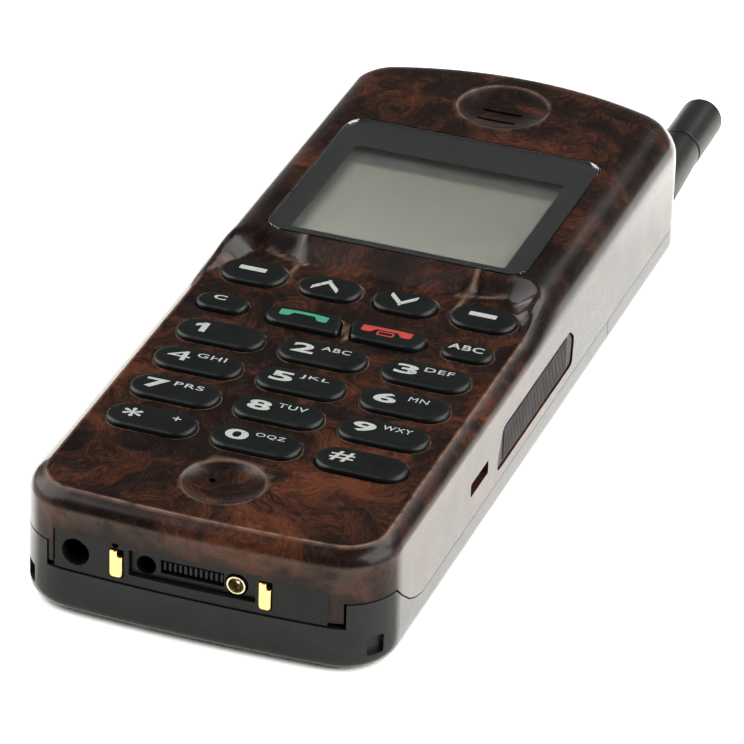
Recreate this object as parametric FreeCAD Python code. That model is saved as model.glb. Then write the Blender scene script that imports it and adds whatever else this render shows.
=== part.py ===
"""A slim candybar mobile handset, lying on its back: every separate piece as its own solid.

Millimetres. +Z points out of the front face, +Y towards the earpiece, +X to the right as seen from
the front. The origin is on the back face, at the middle of the body's plan.
"""
import FreeCAD, Part
import math
import os

V = FreeCAD.Vector

# ---- driving dimensions -------------------------------------------------------------------------
BODY_LENGTH = 148.0
BODY_WIDTH = 56.0
HEAD_TOP = 22.7            # front of the display head
FACE_TOP = 19.8            # flat keypad face
SEAM = 5.1                 # lower edge of the front cover along the sides
WALL = 1.6                 # thickness of the shells
GAP = 0.15                 # clearance between pieces that are fitted together

TOP_END_RADIUS = 60.0      # plan curvature of the earpiece end
BOTTOM_END_RADIUS = 300.0  # plan curvature of the connector end
TOP_CORNER = 9.0
BOTTOM_CORNER = 8.5
SHOULDER = 5.8             # rounding of the display head's edges
FOOT_ROUND = 2.5           # rounding of the back's edges
BEVEL = [(0.0, 17.2), (0.35, 18.3), (1.1, 19.1), (2.3, FACE_TOP)]  # inset, height
HEAD_FOOT = (-2.5, 19.6)   # y, z where the slope up to the display starts
HEAD_BROW = (6.3, HEAD_TOP)  # y, z where it ends

WINDOW = (-21.0, 21.0, 7.2, 46.6)     # x0, x1, y0, y1
WINDOW_CORNER = 2.2
WINDOW_THICK = 1.1
SCREEN = (-17.3, 17.3, 9.4, 38.2)     # the part of the display that is seen
LEDGE = 1.6                           # seat for the window, all round

KEY_TRAVEL = 0.8
KEY_PROUD = 0.75           # how far the keys stand above the face
KEY_CLEARANCE = 0.2
KEY_FLANGE = 0.6
KEY_FLANGE_Z = (17.2, 18.1)
COLUMN_PITCH = 16.14
ROW_PITCH = 9.03
FIRST_ROW_Y = -22.4
DIGIT_SIZE = (13.8, 6.4)
SMALL_SIZE = (8.0, 4.8)
SOFT_SIZE = (10.4, 6.9)
ARROW_SIZE = (9.9, 6.3)
CALL_SIZE = (12.25, 5.2)
CALL_SLANT = 1.2           # how far the inner end of the call and end keys leans

BOARD_Z = (13.0, 14.0)
TRAY_Z = (7.6, 8.8)
BATTERY_TOP = 7.4
BATTERY_END_Y = 29.5       # the battery's end nearest the earpiece
EAR_TOP = 11.4             # the battery's raised lower corners
EAR_Y = -66.3
EAR_X = 22.7
COVER_EDGE = [(EAR_Y, EAR_TOP + GAP), (-64.3, 9.65), (-61.1, 7.2), (-58.4, 5.9), (-55.5, SEAM)]  # y, z
PACK_EDGE = [(EAR_Y - GAP, EAR_TOP), (-64.42, 9.5), (-61.18, 7.05), (-58.45, 5.76), (-55.5, SEAM - 0.1)]
NOTCH_SPOT = (26.24, -70.02, 37.5)    # x, y and turn of the nail notch on each raised corner
NOTCH_Z = (2.7, 5.7)
BATTERY_HALF = 24.8        # half width of the battery's raised middle

SCREW_SPOTS = [(-17.0, 61.0), (17.0, 61.0), (-21.0, -57.5), (21.0, -57.5)]
SCREW_HEAD_Z = 7.75
SCREW_TIP_Z = 16.8

EAR_DISH = (0.0, 58.9, 7.4, 1.2)      # x, y, radius, depth
MOUTH_DISH = (-0.5, -61.0, 6.1, 1.1)
SLOT_LENGTH = 6.6
RINGER_SPOT = (-10.0, 50.5)

PLATE_X = (-21.5, 20.0)
PLATE_Z = (7.65, 13.85)
PLATE_STEP = (10.4, 13.2)             # right of this x the plate is only this high
PLATE_BACK_Y = -71.2
SOCKET_X = (-9.8, 9.4)
SOCKET_Z = (9.2, 13.3)
JACK = (-18.1, 10.8)                  # x, z
JACK_HOLE_R = 2.15
COAX = (6.3, 11.1)
CONTACT_X = [(-12.6, -10.7), (10.0, 11.8)]
CONTACT_Z = (8.6, 12.9)
CONNECTOR_BACK_Y = -63.8

GRIP_Y = (-23.0, 12.0)
GRIP_Z = (7.0, 13.3)
GRIP_DEPTH = 0.9
CATCH_Y = (-35.3, -27.6)
CATCH_Z = (9.3, 11.5)

ANTENNA_X = 23.6
ANTENNA_Z = 9.9
ANTENNA_TIP_Y = 92.5
ANTENNA_JOINT_Y = 79.2
ANTENNA_CAP_R = 3.55
ROD_R = 1.0
ROD_STOP_R = 1.5
ROD_END_Y = -25.0
RUNNING_FIT = 0.05
SPIGOT_R = 2.95

CONTACT_SPRING_X = (-7.5, -2.5, 2.5, 7.5)
CONTACT_SPRING_Y = 16.0


# ---- building blocks ----------------------------------------------------------------------------
def box(x0, x1, y0, y1, z0, z1):
    return Part.makeBox(x1 - x0, y1 - y0, z1 - z0, V(x0, y0, z0))


def rod_z(x, y, radius, z0, z1):
    return Part.makeCylinder(radius, z1 - z0, V(x, y, z0), V(0, 0, 1))


def rod_y(x, z, radius, y0, y1):
    return Part.makeCylinder(radius, y1 - y0, V(x, y0, z), V(0, 1, 0))


def cone_y(x, z, radius0, radius1, y0, y1):
    return Part.makeCone(radius0, radius1, y1 - y0, V(x, y0, z), V(0, 1, 0))


def prism_x(points_yz, x0, x1):
    """A solid with a polygon in YZ, from x0 to x1."""
    wire = Part.makePolygon([V(x0, y, z) for y, z in points_yz + points_yz[:1]])
    return Part.Face(wire).extrude(V(x1 - x0, 0, 0))


def prism_z(points_xy, z0, z1):
    wire = Part.makePolygon([V(x, y, z0) for x, y in points_xy + points_xy[:1]])
    return Part.Face(wire).extrude(V(0, 0, z1 - z0))


def upright_edges(shape):
    """The straight edges of a shape that run along Z."""
    found = []
    for edge in shape.Edges:
        a = edge.Vertexes[0].Point
        b = edge.Vertexes[-1].Point
        if abs(a.x - b.x) < 1e-6 and abs(a.y - b.y) < 1e-6 and abs(a.z - b.z) > 1e-6:
            found.append(edge)
    return found


def edges_at_height(shape, z):
    return [e for e in shape.Edges
            if abs(e.BoundBox.ZMin - z) < 1e-4 and abs(e.BoundBox.ZMax - z) < 1e-4]


def rounded_box(x0, x1, y0, y1, z0, z1, radius):
    shape = box(x0, x1, y0, y1, z0, z1)
    return shape.makeFillet(radius, upright_edges(shape))


def stadium(x, y, size, z0, z1, grow=0.0):
    """A bar with round ends along X."""
    length = size[0] + 2 * grow
    width = size[1] + 2 * grow
    half = (length - width) / 2
    bar = box(x - half, x + half, y - width / 2, y + width / 2, z0, z1)
    ends = [rod_z(x - half, y, width / 2, z0, z1), rod_z(x + half, y, width / 2, z0, z1)]
    return bar.fuse(ends).removeSplitter()


def joined(shapes):
    return shapes[0].fuse(shapes[1:]).removeSplitter() if len(shapes) > 1 else shapes[0]


def without(shape, cutters):
    return shape.cut(Part.makeCompound(cutters)) if cutters else shape


def plan_wire(inset, z):
    """The body's outline seen from the front, moved inwards by inset."""
    half = BODY_WIDTH / 2
    ends = []
    both = ((1, TOP_END_RADIUS, TOP_CORNER), (-1, BOTTOM_END_RADIUS, BOTTOM_CORNER))
    for side, end_radius, corner in both:
        centre_y = side * (BODY_LENGTH / 2 - end_radius)
        corner_x = half - corner
        reach = math.sqrt((end_radius - corner) ** 2 - corner_x ** 2)
        corner_y = centre_y + side * reach
        scale = (end_radius - inset) / (end_radius - corner)
        touch = (corner_x * scale, centre_y + side * reach * scale)
        angle = math.atan2(touch[1] - corner_y, touch[0] - corner_x) / 2
        radius = corner - inset
        middle = (corner_x + radius * math.cos(angle), corner_y + radius * math.sin(angle))
        ends.append((corner_y, middle, touch, side * (BODY_LENGTH / 2 - inset)))
    (top_y, top_mid, top_touch, top_tip), (low_y, low_mid, low_touch, low_tip) = ends
    x = half - inset

    def at(px, py):
        return V(px, py, z)

    edges = [
        Part.LineSegment(at(x, low_y), at(x, top_y)),
        Part.Arc(at(x, top_y), at(*top_mid), at(*top_touch)),
        Part.Arc(at(*top_touch), at(0, top_tip), at(-top_touch[0], top_touch[1])),
        Part.Arc(at(-top_touch[0], top_touch[1]), at(-top_mid[0], top_mid[1]), at(-x, top_y)),
        Part.LineSegment(at(-x, top_y), at(-x, low_y)),
        Part.Arc(at(-x, low_y), at(-low_mid[0], low_mid[1]), at(-low_touch[0], low_touch[1])),
        Part.Arc(at(-low_touch[0], low_touch[1]), at(0, low_tip), at(*low_touch)),
        Part.Arc(at(*low_touch), at(*low_mid), at(x, low_y)),
    ]
    return Part.Wire([edge.toShape() for edge in edges])


def plan_block(inset, z0, z1):
    return Part.Face(plan_wire(inset, z0)).extrude(V(0, 0, z1 - z0))


def dish(spec, surface_z):
    """A shallow ball-shaped hollow in the front face."""
    x, y, radius, depth = spec
    ball = (radius ** 2 + depth ** 2) / (2 * depth)
    return Part.makeSphere(ball, V(x, y, surface_z - depth + ball))


# ---- the twenty keys ----------------------------------------------------------------------------
def call_outline(x0, x1, y, grow, z0, z1, lean):
    """A call key: its outer end is round, its inner end leans. lean is +1 if the inner end is at x1."""
    half = CALL_SIZE[1] / 2 + grow
    if lean > 0:
        outer = x0 - grow
        slab = prism_z([(outer + half, y - half), (x1 + grow + CALL_SLANT / 2 - 0.6, y - half),
                        (x1 + grow - CALL_SLANT / 2 - 0.6, y + half), (outer + half, y + half)], z0, z1)
        return joined([slab, rod_z(outer + half, y, half, z0, z1)])
    outer = x1 + grow
    slab = prism_z([(outer - half, y - half), (x0 - grow + CALL_SLANT / 2 + 0.6, y - half),
                    (x0 - grow - CALL_SLANT / 2 + 0.6, y + half), (outer - half, y + half)], z0, z1)
    return joined([slab, rod_z(outer - half, y, half, z0, z1)])


def key_table():
    """Name, centre, and a function that makes the key's outline, grown sideways, between two heights."""
    table = []

    def add(name, x, y, size):
        table.append((name, x, y, lambda grow, z0, z1: stadium(x, y, size, z0, z1, grow)))

    add("soft_key_left", -18.4, -2.9, SOFT_SIZE)
    add("soft_key_right", 18.4, -2.9, SOFT_SIZE)
    add("up_key", -6.1, -3.1, ARROW_SIZE)
    add("down_key", 5.9, -3.1, ARROW_SIZE)
    add("clear_key", -19.46, -13.4, SMALL_SIZE)
    add("letters_key", 19.46, -13.4, SMALL_SIZE)
    table.append(("call_key", -6.1, -13.5, lambda g, z0, z1: call_outline(-12.3, 0.0, -13.5, g, z0, z1, 1)))
    table.append(("end_key", 6.8, -13.5, lambda g, z0, z1: call_outline(0.6, 12.9, -13.5, g, z0, z1, -1)))
    names = ["one", "two", "three", "four", "five", "six", "seven", "eight", "nine", "star", "zero", "hash"]
    for index, name in enumerate(names):
        row, column = divmod(index, 3)
        add("key_" + name, (column - 1) * COLUMN_PITCH, FIRST_ROW_Y - row * ROW_PITCH, DIGIT_SIZE)
    return table


def make_key(outline):
    """A cap that stands proud of the face, with a flange under the cover that keeps it in."""
    cap = outline(0.0, KEY_FLANGE_Z[0], FACE_TOP + KEY_PROUD)
    cap = cap.makeFillet(0.6, edges_at_height(cap, FACE_TOP + KEY_PROUD))
    flange = outline(KEY_FLANGE, *KEY_FLANGE_Z)
    return joined([cap, flange])


def key_flange_gap(shape, name):
    """The call and end keys stand close together, so their flanges stop between them."""
    if name == "call_key":
        return shape.cut(box(0.15, 5, -20, -8, 10, 30))
    if name == "end_key":
        return shape.cut(box(-5, 0.45, -20, -8, 10, 30))
    return shape


# ---- casings ------------------------------------------------------------------------------------
def head_block(inset, top, shoulder):
    """The raised display head: rounded shoulders, and a slope down to the keypad face."""
    shape = plan_block(inset, SEAM, top)
    shape = shape.makeFillet(shoulder, edges_at_height(shape, top))
    drop = HEAD_TOP - top
    above = [(HEAD_BROW[0], HEAD_BROW[1] - drop), (HEAD_FOOT[0], HEAD_FOOT[1] - drop),
             (HEAD_FOOT[0], 40.0), (HEAD_BROW[0], 40.0)]
    shape = shape.cut(prism_x(above, -40, 40))
    return shape.cut(box(-40, 40, -90, HEAD_FOOT[0], 0, 40))


def cover_outside():
    slab = plan_block(0.0, SEAM, BEVEL[0][1])
    crown = Part.makeLoft([plan_wire(inset, z) for inset, z in BEVEL], True, True)
    return joined([slab, crown, head_block(0.0, HEAD_TOP, SHOULDER)])


def cover_inside():
    low = plan_block(WALL, SEAM - 1, FACE_TOP - WALL)
    low = low.makeFillet(1.0, edges_at_height(low, FACE_TOP - WALL))
    return joined([low, head_block(WALL, HEAD_TOP - WALL, SHOULDER - WALL),
                   plan_block(WALL, SEAM - 1, SEAM + 1)])


def ear_space():
    """Where the battery's raised corners and the connector end cut into the cover."""
    corner = box(-40, 40, -90, EAR_Y, 0, EAR_TOP + GAP)
    rise = prism_x(COVER_EDGE + [(COVER_EDGE[-1][0], 0), (EAR_Y, 0)], -40, 40)
    return joined([corner, rise])


def make_front_cover():
    shell = cover_outside().cut(cover_inside())
    pads = []
    for spec, surface_z, rim, depth in ((EAR_DISH, HEAD_TOP, 1.2, 1.5), (MOUTH_DISH, FACE_TOP, 1.0, 1.3)):
        pads.append(rod_z(spec[0], spec[1], spec[2] + rim, surface_z - spec[3] - depth, surface_z - 1))
    for index, (x, y) in enumerate(SCREW_SPOTS):
        roof = HEAD_TOP - 1 if index < 2 else FACE_TOP - 1
        pads.append(rod_z(x, y, 2.3, BOARD_Z[1] + 0.05, roof))
    shell = joined([shell] + pads)

    x0, x1, y0, y1 = WINDOW
    cutters = [
        rounded_box(x0 - GAP, x1 + GAP, y0 - GAP, y1 + GAP, HEAD_TOP - WINDOW_THICK, 30, WINDOW_CORNER),
        rounded_box(x0 + LEDGE, x1 - LEDGE, y0 + LEDGE, SCREEN[3] + 2.0, 15, 30, 1.0),
        dish(EAR_DISH, HEAD_TOP),
        dish(MOUTH_DISH, FACE_TOP),
        rod_z(MOUTH_DISH[0] - 2.2, MOUTH_DISH[1] + 1.2, 0.5, 14, 25),
        ear_space().cut(box(-EAR_X + 0.35, EAR_X - 0.35, -90, -60, 8.4, 40)),
        box(PLATE_X[0] - 0.1, PLATE_STEP[0] + 0.1, -90, -70, 0, PLATE_Z[1] + 0.1),
        box(PLATE_STEP[0], PLATE_X[1] + 0.1, -90, -70, 0, PLATE_STEP[1] + 0.1),
    ]
    for y in (-0.3, -3.5):
        cutters.append(stadium(EAR_DISH[0], EAR_DISH[1] + y, (SLOT_LENGTH, 0.8), 15, 30))
    for name, x, y, outline in key_table():
        cutters.append(outline(KEY_CLEARANCE, 10, 30))
    for x, y in SCREW_SPOTS:
        cutters.append(rod_z(x, y, 1.0, 10, SCREW_TIP_Z + 0.5))
    for side in (-1, 1):
        cutters.append(grip_blank(side, GAP, -0.05))
        cutters.append(box(*sorted((side * 20, side * 40)), *CATCH_Y, *CATCH_Z))
    cutters.append(rod_y(ANTENNA_X, ANTENNA_Z, SPIGOT_R + 0.1, 60, 90))
    return without(shell, cutters)


def grip_blank(side, grow, recess):
    """A thin lozenge against the side wall, with slanted ends."""
    y0, y1 = GRIP_Y
    z0, z1 = GRIP_Z
    lean = 2.2
    points = [(y0 - grow, z0 - grow), (y1 + grow - 0.6, z0 - grow), (y1 + grow, z1 - 2.0),
              (y1 - lean + grow, z1 + grow), (y0 + lean - grow, z1 + grow), (y0 - grow, z0 + 2.0)]
    face = BODY_WIDTH / 2
    outer = face + 5 if grow else face + recess
    xs = sorted((side * (face - GRIP_DEPTH - grow), side * outer))
    return prism_x(points, *xs)


def make_side_grip(side):
    """A plastic patch set into the side wall, with fine upright ribs."""
    grip = grip_blank(side, 0.0, -0.25)
    ribs = []
    pitch = 0.7
    count = int((GRIP_Y[1] - GRIP_Y[0] - 5.0) / pitch)
    for index in range(count):
        y = GRIP_Y[0] + 2.7 + index * pitch
        xs = sorted((side * (BODY_WIDTH / 2 - 0.4), side * (BODY_WIDTH / 2)))
        ribs.append(box(*xs, y, y + 0.35, GRIP_Z[0] + 0.5, GRIP_Z[1] - 0.5))
    return joined([grip] + ribs)


def make_rear_housing():
    """The tray above the battery, and the closed shell of the back's earpiece end."""
    fit = WALL + GAP
    floor = plan_block(fit, *TRAY_Z).common(
        box(-40, 40, PLATE_BACK_Y + 0.05, BATTERY_END_Y + 2, 0, 40))
    shell = plan_block(0.0, 0.0, SEAM - 0.1)
    shell = shell.makeFillet(FOOT_ROUND, edges_at_height(shell, 0.0))
    shell = joined([shell, plan_block(fit, 2.0, TRAY_Z[1])])
    shell = shell.common(box(-40, 40, BATTERY_END_Y + 0.2, 90, 0, 40))
    hollow = plan_block(fit + 1.3, 1.5, 40).common(box(-40, 40, BATTERY_END_Y + 1.7, 90, 0, 40))
    shell = shell.cut(hollow)
    rails = [plan_block(fit, TRAY_Z[0], TRAY_Z[1] + 2).cut(plan_block(fit + 1.2, 0, 40)).common(
        box(-40, 40, -60, 58, 0, 40))]
    bosses = []
    for index, (x, y) in enumerate(SCREW_SPOTS):
        bosses.append(rod_z(x, y, 3.2, 0.8 if index < 2 else TRAY_Z[0], SCREW_HEAD_Z + 2.8))
    body = joined([floor, shell] + rails + bosses)

    cutters = [box(-22.0, -14.2, -73, CONNECTOR_BACK_Y + 0.3, 5, 14),
               box(-11.5, 11.5, -73, CONNECTOR_BACK_Y + 0.3, 8.7, 14),
               rod_y(ANTENNA_X, ANTENNA_Z, 2.5, ROD_END_Y - 3, 80),
               rod_y(ANTENNA_X, ANTENNA_Z, SPIGOT_R + 0.1, 60, 80),
               box(-3.4, 3.4, BATTERY_END_Y - 1, BATTERY_END_Y + 7.6, -1, 1.5 + 0.05),
               box(-1.8, 1.8, BATTERY_END_Y - 1, BATTERY_END_Y + 5.1, 1, 3.2)]
    for x, y in SCREW_SPOTS:
        cutters.append(rod_z(x, y, 2.0, -1, SCREW_HEAD_Z + 1.3))
        cutters.append(rod_z(x, y, 1.1, -1, 20))
    for side in (-1, 1):
        cutters.append(box(*sorted((side * (EAR_X - 0.2), side * 40)), -90, EAR_Y + 0.4, 0, 14))
    for x0, x1 in CONTACT_X:
        cutters.append(box(x0 - 0.2, x1 + 0.2, -80, -68.8, CONTACT_Z[0] - 0.2, 14))
    for x in CONTACT_SPRING_X:
        cutters.append(box(x - 1.4, x + 1.4, CONTACT_SPRING_Y - 4, CONTACT_SPRING_Y + 4, 5, 9))
    return without(body, cutters)


def battery_region():
    """The whole space of the pack: a slab, a raised middle, raised corners at the connector end."""
    slab = plan_block(0.0, 0.0, SEAM - 0.1)
    slab = slab.makeFillet(FOOT_ROUND, edges_at_height(slab, 0.0))
    middle = box(-BATTERY_HALF, BATTERY_HALF, -80, 40, 2, BATTERY_TOP).common(plan_block(0.0, 0, 20))
    low_end = prism_x(PACK_EDGE + [(PACK_EDGE[-1][0], 3.0), (-80, 3.0), (-80, EAR_TOP)], -40, 40)
    low_end = low_end.common(plan_block(0.0, 3.0, EAR_TOP))
    low_end = low_end.cut(box(-EAR_X, EAR_X, -90, -60, BATTERY_TOP, 40))
    low_end = low_end.cut(plan_block(WALL, 4, 40).common(box(-40, 40, EAR_Y, 40, 0, 40)))
    whole = joined([slab, middle, low_end])
    return whole.common(box(-40, 40, -90, BATTERY_END_Y, 0, 40))


def battery_hollow():
    """Room for the cells."""
    half = BATTERY_HALF - 1.4
    return rounded_box(-half, half, -70.0, BATTERY_END_Y - 2.0, 1.0, BATTERY_TOP - 0.9, 3.0)


def make_battery_case():
    """The tub with the raised corners, a nail notch on each corner, and a hook notch in the far end."""
    case = battery_region().cut(battery_hollow())
    half = BATTERY_HALF - 0.8
    lid_space = box(-half, half, -71.0, BATTERY_END_Y - 1.2, BATTERY_TOP - 0.9, 20)
    cutters = [lid_space, box(-1.9, 1.9, BATTERY_END_Y - 0.7, BATTERY_END_Y + 1, 1.2, 3.2)]
    for side in (-1, 1):
        x, y, turn = NOTCH_SPOT
        notch = box(-0.9, 2.0, -1.4, 1.4, *NOTCH_Z)
        notch.rotate(V(0, 0, 0), V(0, 0, 1), -turn if side > 0 else 180 + turn)
        notch.translate(V(side * x, y, 0))
        cutters.append(notch)
    return without(case, cutters)


def make_battery_lid():
    lid = rounded_box(-BATTERY_HALF + 0.9, BATTERY_HALF - 0.9, -70.9, BATTERY_END_Y - 1.3,
                      BATTERY_TOP - 0.85, BATTERY_TOP, 1.5)
    y0, y1 = CONTACT_SPRING_Y - 4.5, CONTACT_SPRING_Y + 4.5
    windows = [box(x - 1.5, x + 1.5, y0, y1, 5, 9) for x in CONTACT_SPRING_X]
    return without(lid, windows)


def make_battery_cells():
    """Five flat cells side by side, across the pack."""
    cells = []
    count = 5
    y0 = -69.5
    pitch = (5.0 - y0) / count
    for index in range(count):
        y = y0 + index * pitch
        cells.append(rounded_box(-22.9, 22.9, y + 0.2, y + pitch - 0.2, 1.15, BATTERY_TOP - 1.1, 2.0))
    return Part.makeCompound(cells)


def make_battery_terminals():
    pads = [box(x - 1.3, x + 1.3, CONTACT_SPRING_Y - 4, CONTACT_SPRING_Y + 4,
                BATTERY_TOP - 1.0, BATTERY_TOP - 0.02) for x in CONTACT_SPRING_X]
    return Part.makeCompound(pads)


def make_battery_contacts():
    """Leaf springs of the phone that touch the pack's terminals."""
    springs = []
    for x in CONTACT_SPRING_X:
        y = CONTACT_SPRING_Y
        low = BATTERY_TOP + 0.02
        high = BOARD_Z[0] - 0.05
        profile = [(y - 3.5, low + 1.6), (y + 0.2, low), (y + 1.2, low), (y + 3.5, low + 1.6),
                   (y + 3.5, high),
                   (y + 3.1, high), (y + 3.1, low + 1.8), (y + 1.1, low + 0.4), (y + 0.3, low + 0.4),
                   (y - 3.5, low + 2.0)]
        springs.append(prism_x(profile, x - 0.9, x + 0.9))
    return Part.makeCompound(springs)


def make_battery_latch():
    """A thumb slider in the back, just above the pack; its nose sits in the pack's end."""
    y0 = BATTERY_END_Y
    button = rounded_box(-3.2, 3.2, y0 + 0.4, y0 + 5.2, 0.25, 1.4, 0.5)
    ribs = [box(-2.4, 2.4, y0 + 1.4 + i * 1.2, y0 + 1.9 + i * 1.2, 0.1, 0.4) for i in range(3)]
    stem = box(-1.6, 1.6, y0 - 0.5, y0 + 2.9, 1.3, 3.0)
    return joined([button, stem] + ribs)


# ---- display ------------------------------------------------------------------------------------
def make_display_window():
    x0, x1, y0, y1 = WINDOW
    lens = rounded_box(x0, x1, y0, y1, HEAD_TOP - WINDOW_THICK + 0.02, HEAD_TOP, WINDOW_CORNER - GAP)
    return lens.makeFillet(0.25, edges_at_height(lens, HEAD_TOP))


def make_lcd_panel():
    x0, x1, y0, y1 = SCREEN
    glass = box(x0 - 1.5, x1 + 1.5, y0 - 0.4, y1 + 1.5, 18.9, 19.9)
    upper = box(x0 - 1.5, x1 + 1.5, y0 + 1.6, y1 + 1.5, 19.9, 20.6)
    return joined([glass, upper])


def make_lcd_frame():
    """A white plastic holder round the display and the light guide."""
    x0, x1, y0, y1 = SCREEN
    outer = rounded_box(x0 - 2.7, x1 + 2.7, y0 - 1.3, y1 + 2.7, 14.05, 19.8, 1.0)
    return outer.cut(box(x0 - 1.6, x1 + 1.6, y0 - 0.5, y1 + 1.6, 13, 30))


def make_light_guide():
    x0, x1, y0, y1 = SCREEN
    return box(x0 - 1.4, x1 + 1.4, y0 + 2.4, y1 + 1.4, 16.2, 18.8)


def make_connector_strips():
    """Rubber strip with conducting layers, from the display's ledge down to the board."""
    x0, x1, y0, y1 = SCREEN
    return box(x0, x1, y0 - 0.2, y0 + 1.9, 14.05, 18.85)


# ---- inside -------------------------------------------------------------------------------------
def make_keypad_mat():
    """Silicone sheet with a low bump under every key; the bumps stop below the keys' travel."""
    sheet = box(-23.6, 23.6, -53.4, 1.6, BOARD_Z[1] + 0.05, 15.0)
    bumps = []
    for name, x, y, outline in key_table():
        bumps.append(stadium(x, y, (5.0, 3.4), 14.9, KEY_FLANGE_Z[0] - KEY_TRAVEL - 0.1))
    return joined([sheet] + bumps)


def make_main_board():
    board = plan_block(2.6, *BOARD_Z).common(box(-40, 40, CONNECTOR_BACK_Y + 0.2, 66, 0, 40))
    holes = [rod_z(x, y, 1.35, 0, 40) for x, y in SCREW_SPOTS]
    return without(board, holes)


def shield_can(x0, x1, y0, y1, z0, z1, thick=0.3):
    outer = rounded_box(x0, x1, y0, y1, z0, z1, 0.8)
    return outer.cut(box(x0 + thick, x1 - thick, y0 + thick, y1 - thick, z0 + thick, z1 + 1))


CHIP_ROWS = [
    # x0, x1, y0, y1, height
    (-20.0, -8.0, -48.0, -36.0, 1.8), (-5.0, 7.0, -48.0, -34.0, 2.0), (10.0, 18.0, -46.0, -38.0, 1.5),
    (-18.0, -6.0, -28.0, -22.0, 1.4), (-2.0, 12.0, -28.0, -20.0, 1.4),
    (-19.0, -12.0, 24.0, 36.0, 2.2), (-9.0, 3.0, 24.0, 31.0, 2.4), (6.0, 15.0, 24.0, 42.0, 2.0),
    (-9.0, 2.0, 35.0, 42.0, 1.6),
]


def make_board_chips():
    z1 = BOARD_Z[0] - 0.05
    return Part.makeCompound([box(x0, x1, y0, y1, z1 - h, z1) for x0, x1, y0, y1, h in CHIP_ROWS])


def make_earpiece_speaker():
    x, y = EAR_DISH[:2]
    top = HEAD_TOP - EAR_DISH[3] - 2.1
    body = joined([rod_z(x, y, 7.4, top - 2.4, top), rod_z(x, y, 5.2, top - 4.4, top - 2.4)])
    return body.cut(rod_z(x, y, 5.6, top - 0.4, top + 1))


def make_speaker_gasket():
    x, y = EAR_DISH[:2]
    top = HEAD_TOP - EAR_DISH[3] - 1.55
    return rod_z(x, y, 7.4, top - 0.5, top).cut(rod_z(x, y, 5.8, top - 1, top + 1))


def make_microphone():
    x, y = MOUTH_DISH[:2]
    return rod_z(x, y, 2.9, 14.9, 16.9)


def make_microphone_boot():
    x, y = MOUTH_DISH[:2]
    boot = rod_z(x, y, 3.7, BOARD_Z[1] + 0.15, 17.3)
    return boot.cut(rod_z(x, y, 2.95, 14.85, 18))


def make_ringer():
    can = rod_z(*RINGER_SPOT, 5.5, 8.0, BOARD_Z[0] - 0.05)
    return can.cut(rod_z(*RINGER_SPOT, 1.0, 7.0, 9.0))


# ---- connector end ------------------------------------------------------------------------------
def make_connector_plate():
    plate = plan_block(0.2, *PLATE_Z).common(box(*PLATE_X, -80, PLATE_BACK_Y, 0, 40))
    cutters = [rod_y(*JACK, JACK_HOLE_R, -80, -60),
               box(SOCKET_X[0], SOCKET_X[1], -80, -60, *SOCKET_Z),
               rod_y(-11.9, 13.6, 0.5, -80, -60)]
    for x0, x1 in CONTACT_X:
        cutters.append(box(x0 - 0.1, x1 + 0.1, -80, -60, CONTACT_Z[0] - 0.1, CONTACT_Z[1] + 0.1))
    plate = without(plate, cutters)
    return plate.cut(box(PLATE_STEP[0], PLATE_X[1] + 1, -80, -60, PLATE_STEP[1], 20))


def make_system_connector():
    """The insulator behind the plate: a shallow socket with a guide hole at one end."""
    block = box(SOCKET_X[0] + 0.1, SOCKET_X[1] - 0.1, -72.9, -66.0, SOCKET_Z[0] + 0.1, SOCKET_Z[1] - 0.1)
    flange = box(-9.9, 9.5, PLATE_BACK_Y + 0.05, CONNECTOR_BACK_Y, 8.9, 12.9)
    cutters = [rod_y(-7.4, 11.0, 1.5, -80, -68.5),
               box(-5.2, 4.4, -80, -71.6, 10.2, 12.4),
               rod_y(*COAX, 1.75, -80, -69.9)]
    return without(joined([block, flange]), cutters)


PIN_COUNT = 12


def pin_x(index):
    return -4.7 + index * 8.6 / (PIN_COUNT - 1)


def make_connector_pins():
    pins = [box(pin_x(i) - 0.2, pin_x(i) + 0.2, -72.6, -71.6, 10.6, 12.0) for i in range(PIN_COUNT)]
    return Part.makeCompound(pins)


def make_coax_socket():
    ring = rod_y(*COAX, 1.45, -73.3, -69.95).cut(rod_y(*COAX, 1.05, -80, -70.9))
    return joined([ring, rod_y(*COAX, 0.3, -72.4, -70.0)])


def make_charge_contacts():
    """Gold blades that stand a little proud of the plate, each with a clipped upper corner."""
    blades = []
    for x0, x1 in CONTACT_X:
        blade = box(x0, x1, -74.05, -69.0, *CONTACT_Z)
        corner = box(x0 + 1.1, x1 + 1, -80, -60, CONTACT_Z[1] - 0.9, 20)
        blades.append(blade.cut(corner))
    return Part.makeCompound(blades)


def make_dc_jack():
    x, z = JACK
    block = box(x - 3.3, x + 3.3, PLATE_BACK_Y + 0.05, CONNECTOR_BACK_Y, z - 3.1, z + 3.1)
    return block.cut(rod_y(x, z, JACK_HOLE_R + 0.3, -80, CONNECTOR_BACK_Y - 0.8))


def make_dc_jack_pin():
    x, z = JACK
    return rod_y(x, z, 0.6, -70.0, CONNECTOR_BACK_Y - 0.85)


# ---- antenna ------------------------------------------------------------------------------------
def make_antenna_cap():
    cap = rod_y(ANTENNA_X, ANTENNA_Z, ANTENNA_CAP_R, ANTENNA_JOINT_Y + 0.1, ANTENNA_TIP_Y)
    tip = [e for e in cap.Edges if e.BoundBox.YMin > ANTENNA_TIP_Y - 0.01]
    cap = cap.makeFillet(1.3, tip)
    return cap.cut(rod_y(ANTENNA_X, ANTENNA_Z, ROD_R, ANTENNA_JOINT_Y - 1, ANTENNA_JOINT_Y + 8.0))


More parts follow.
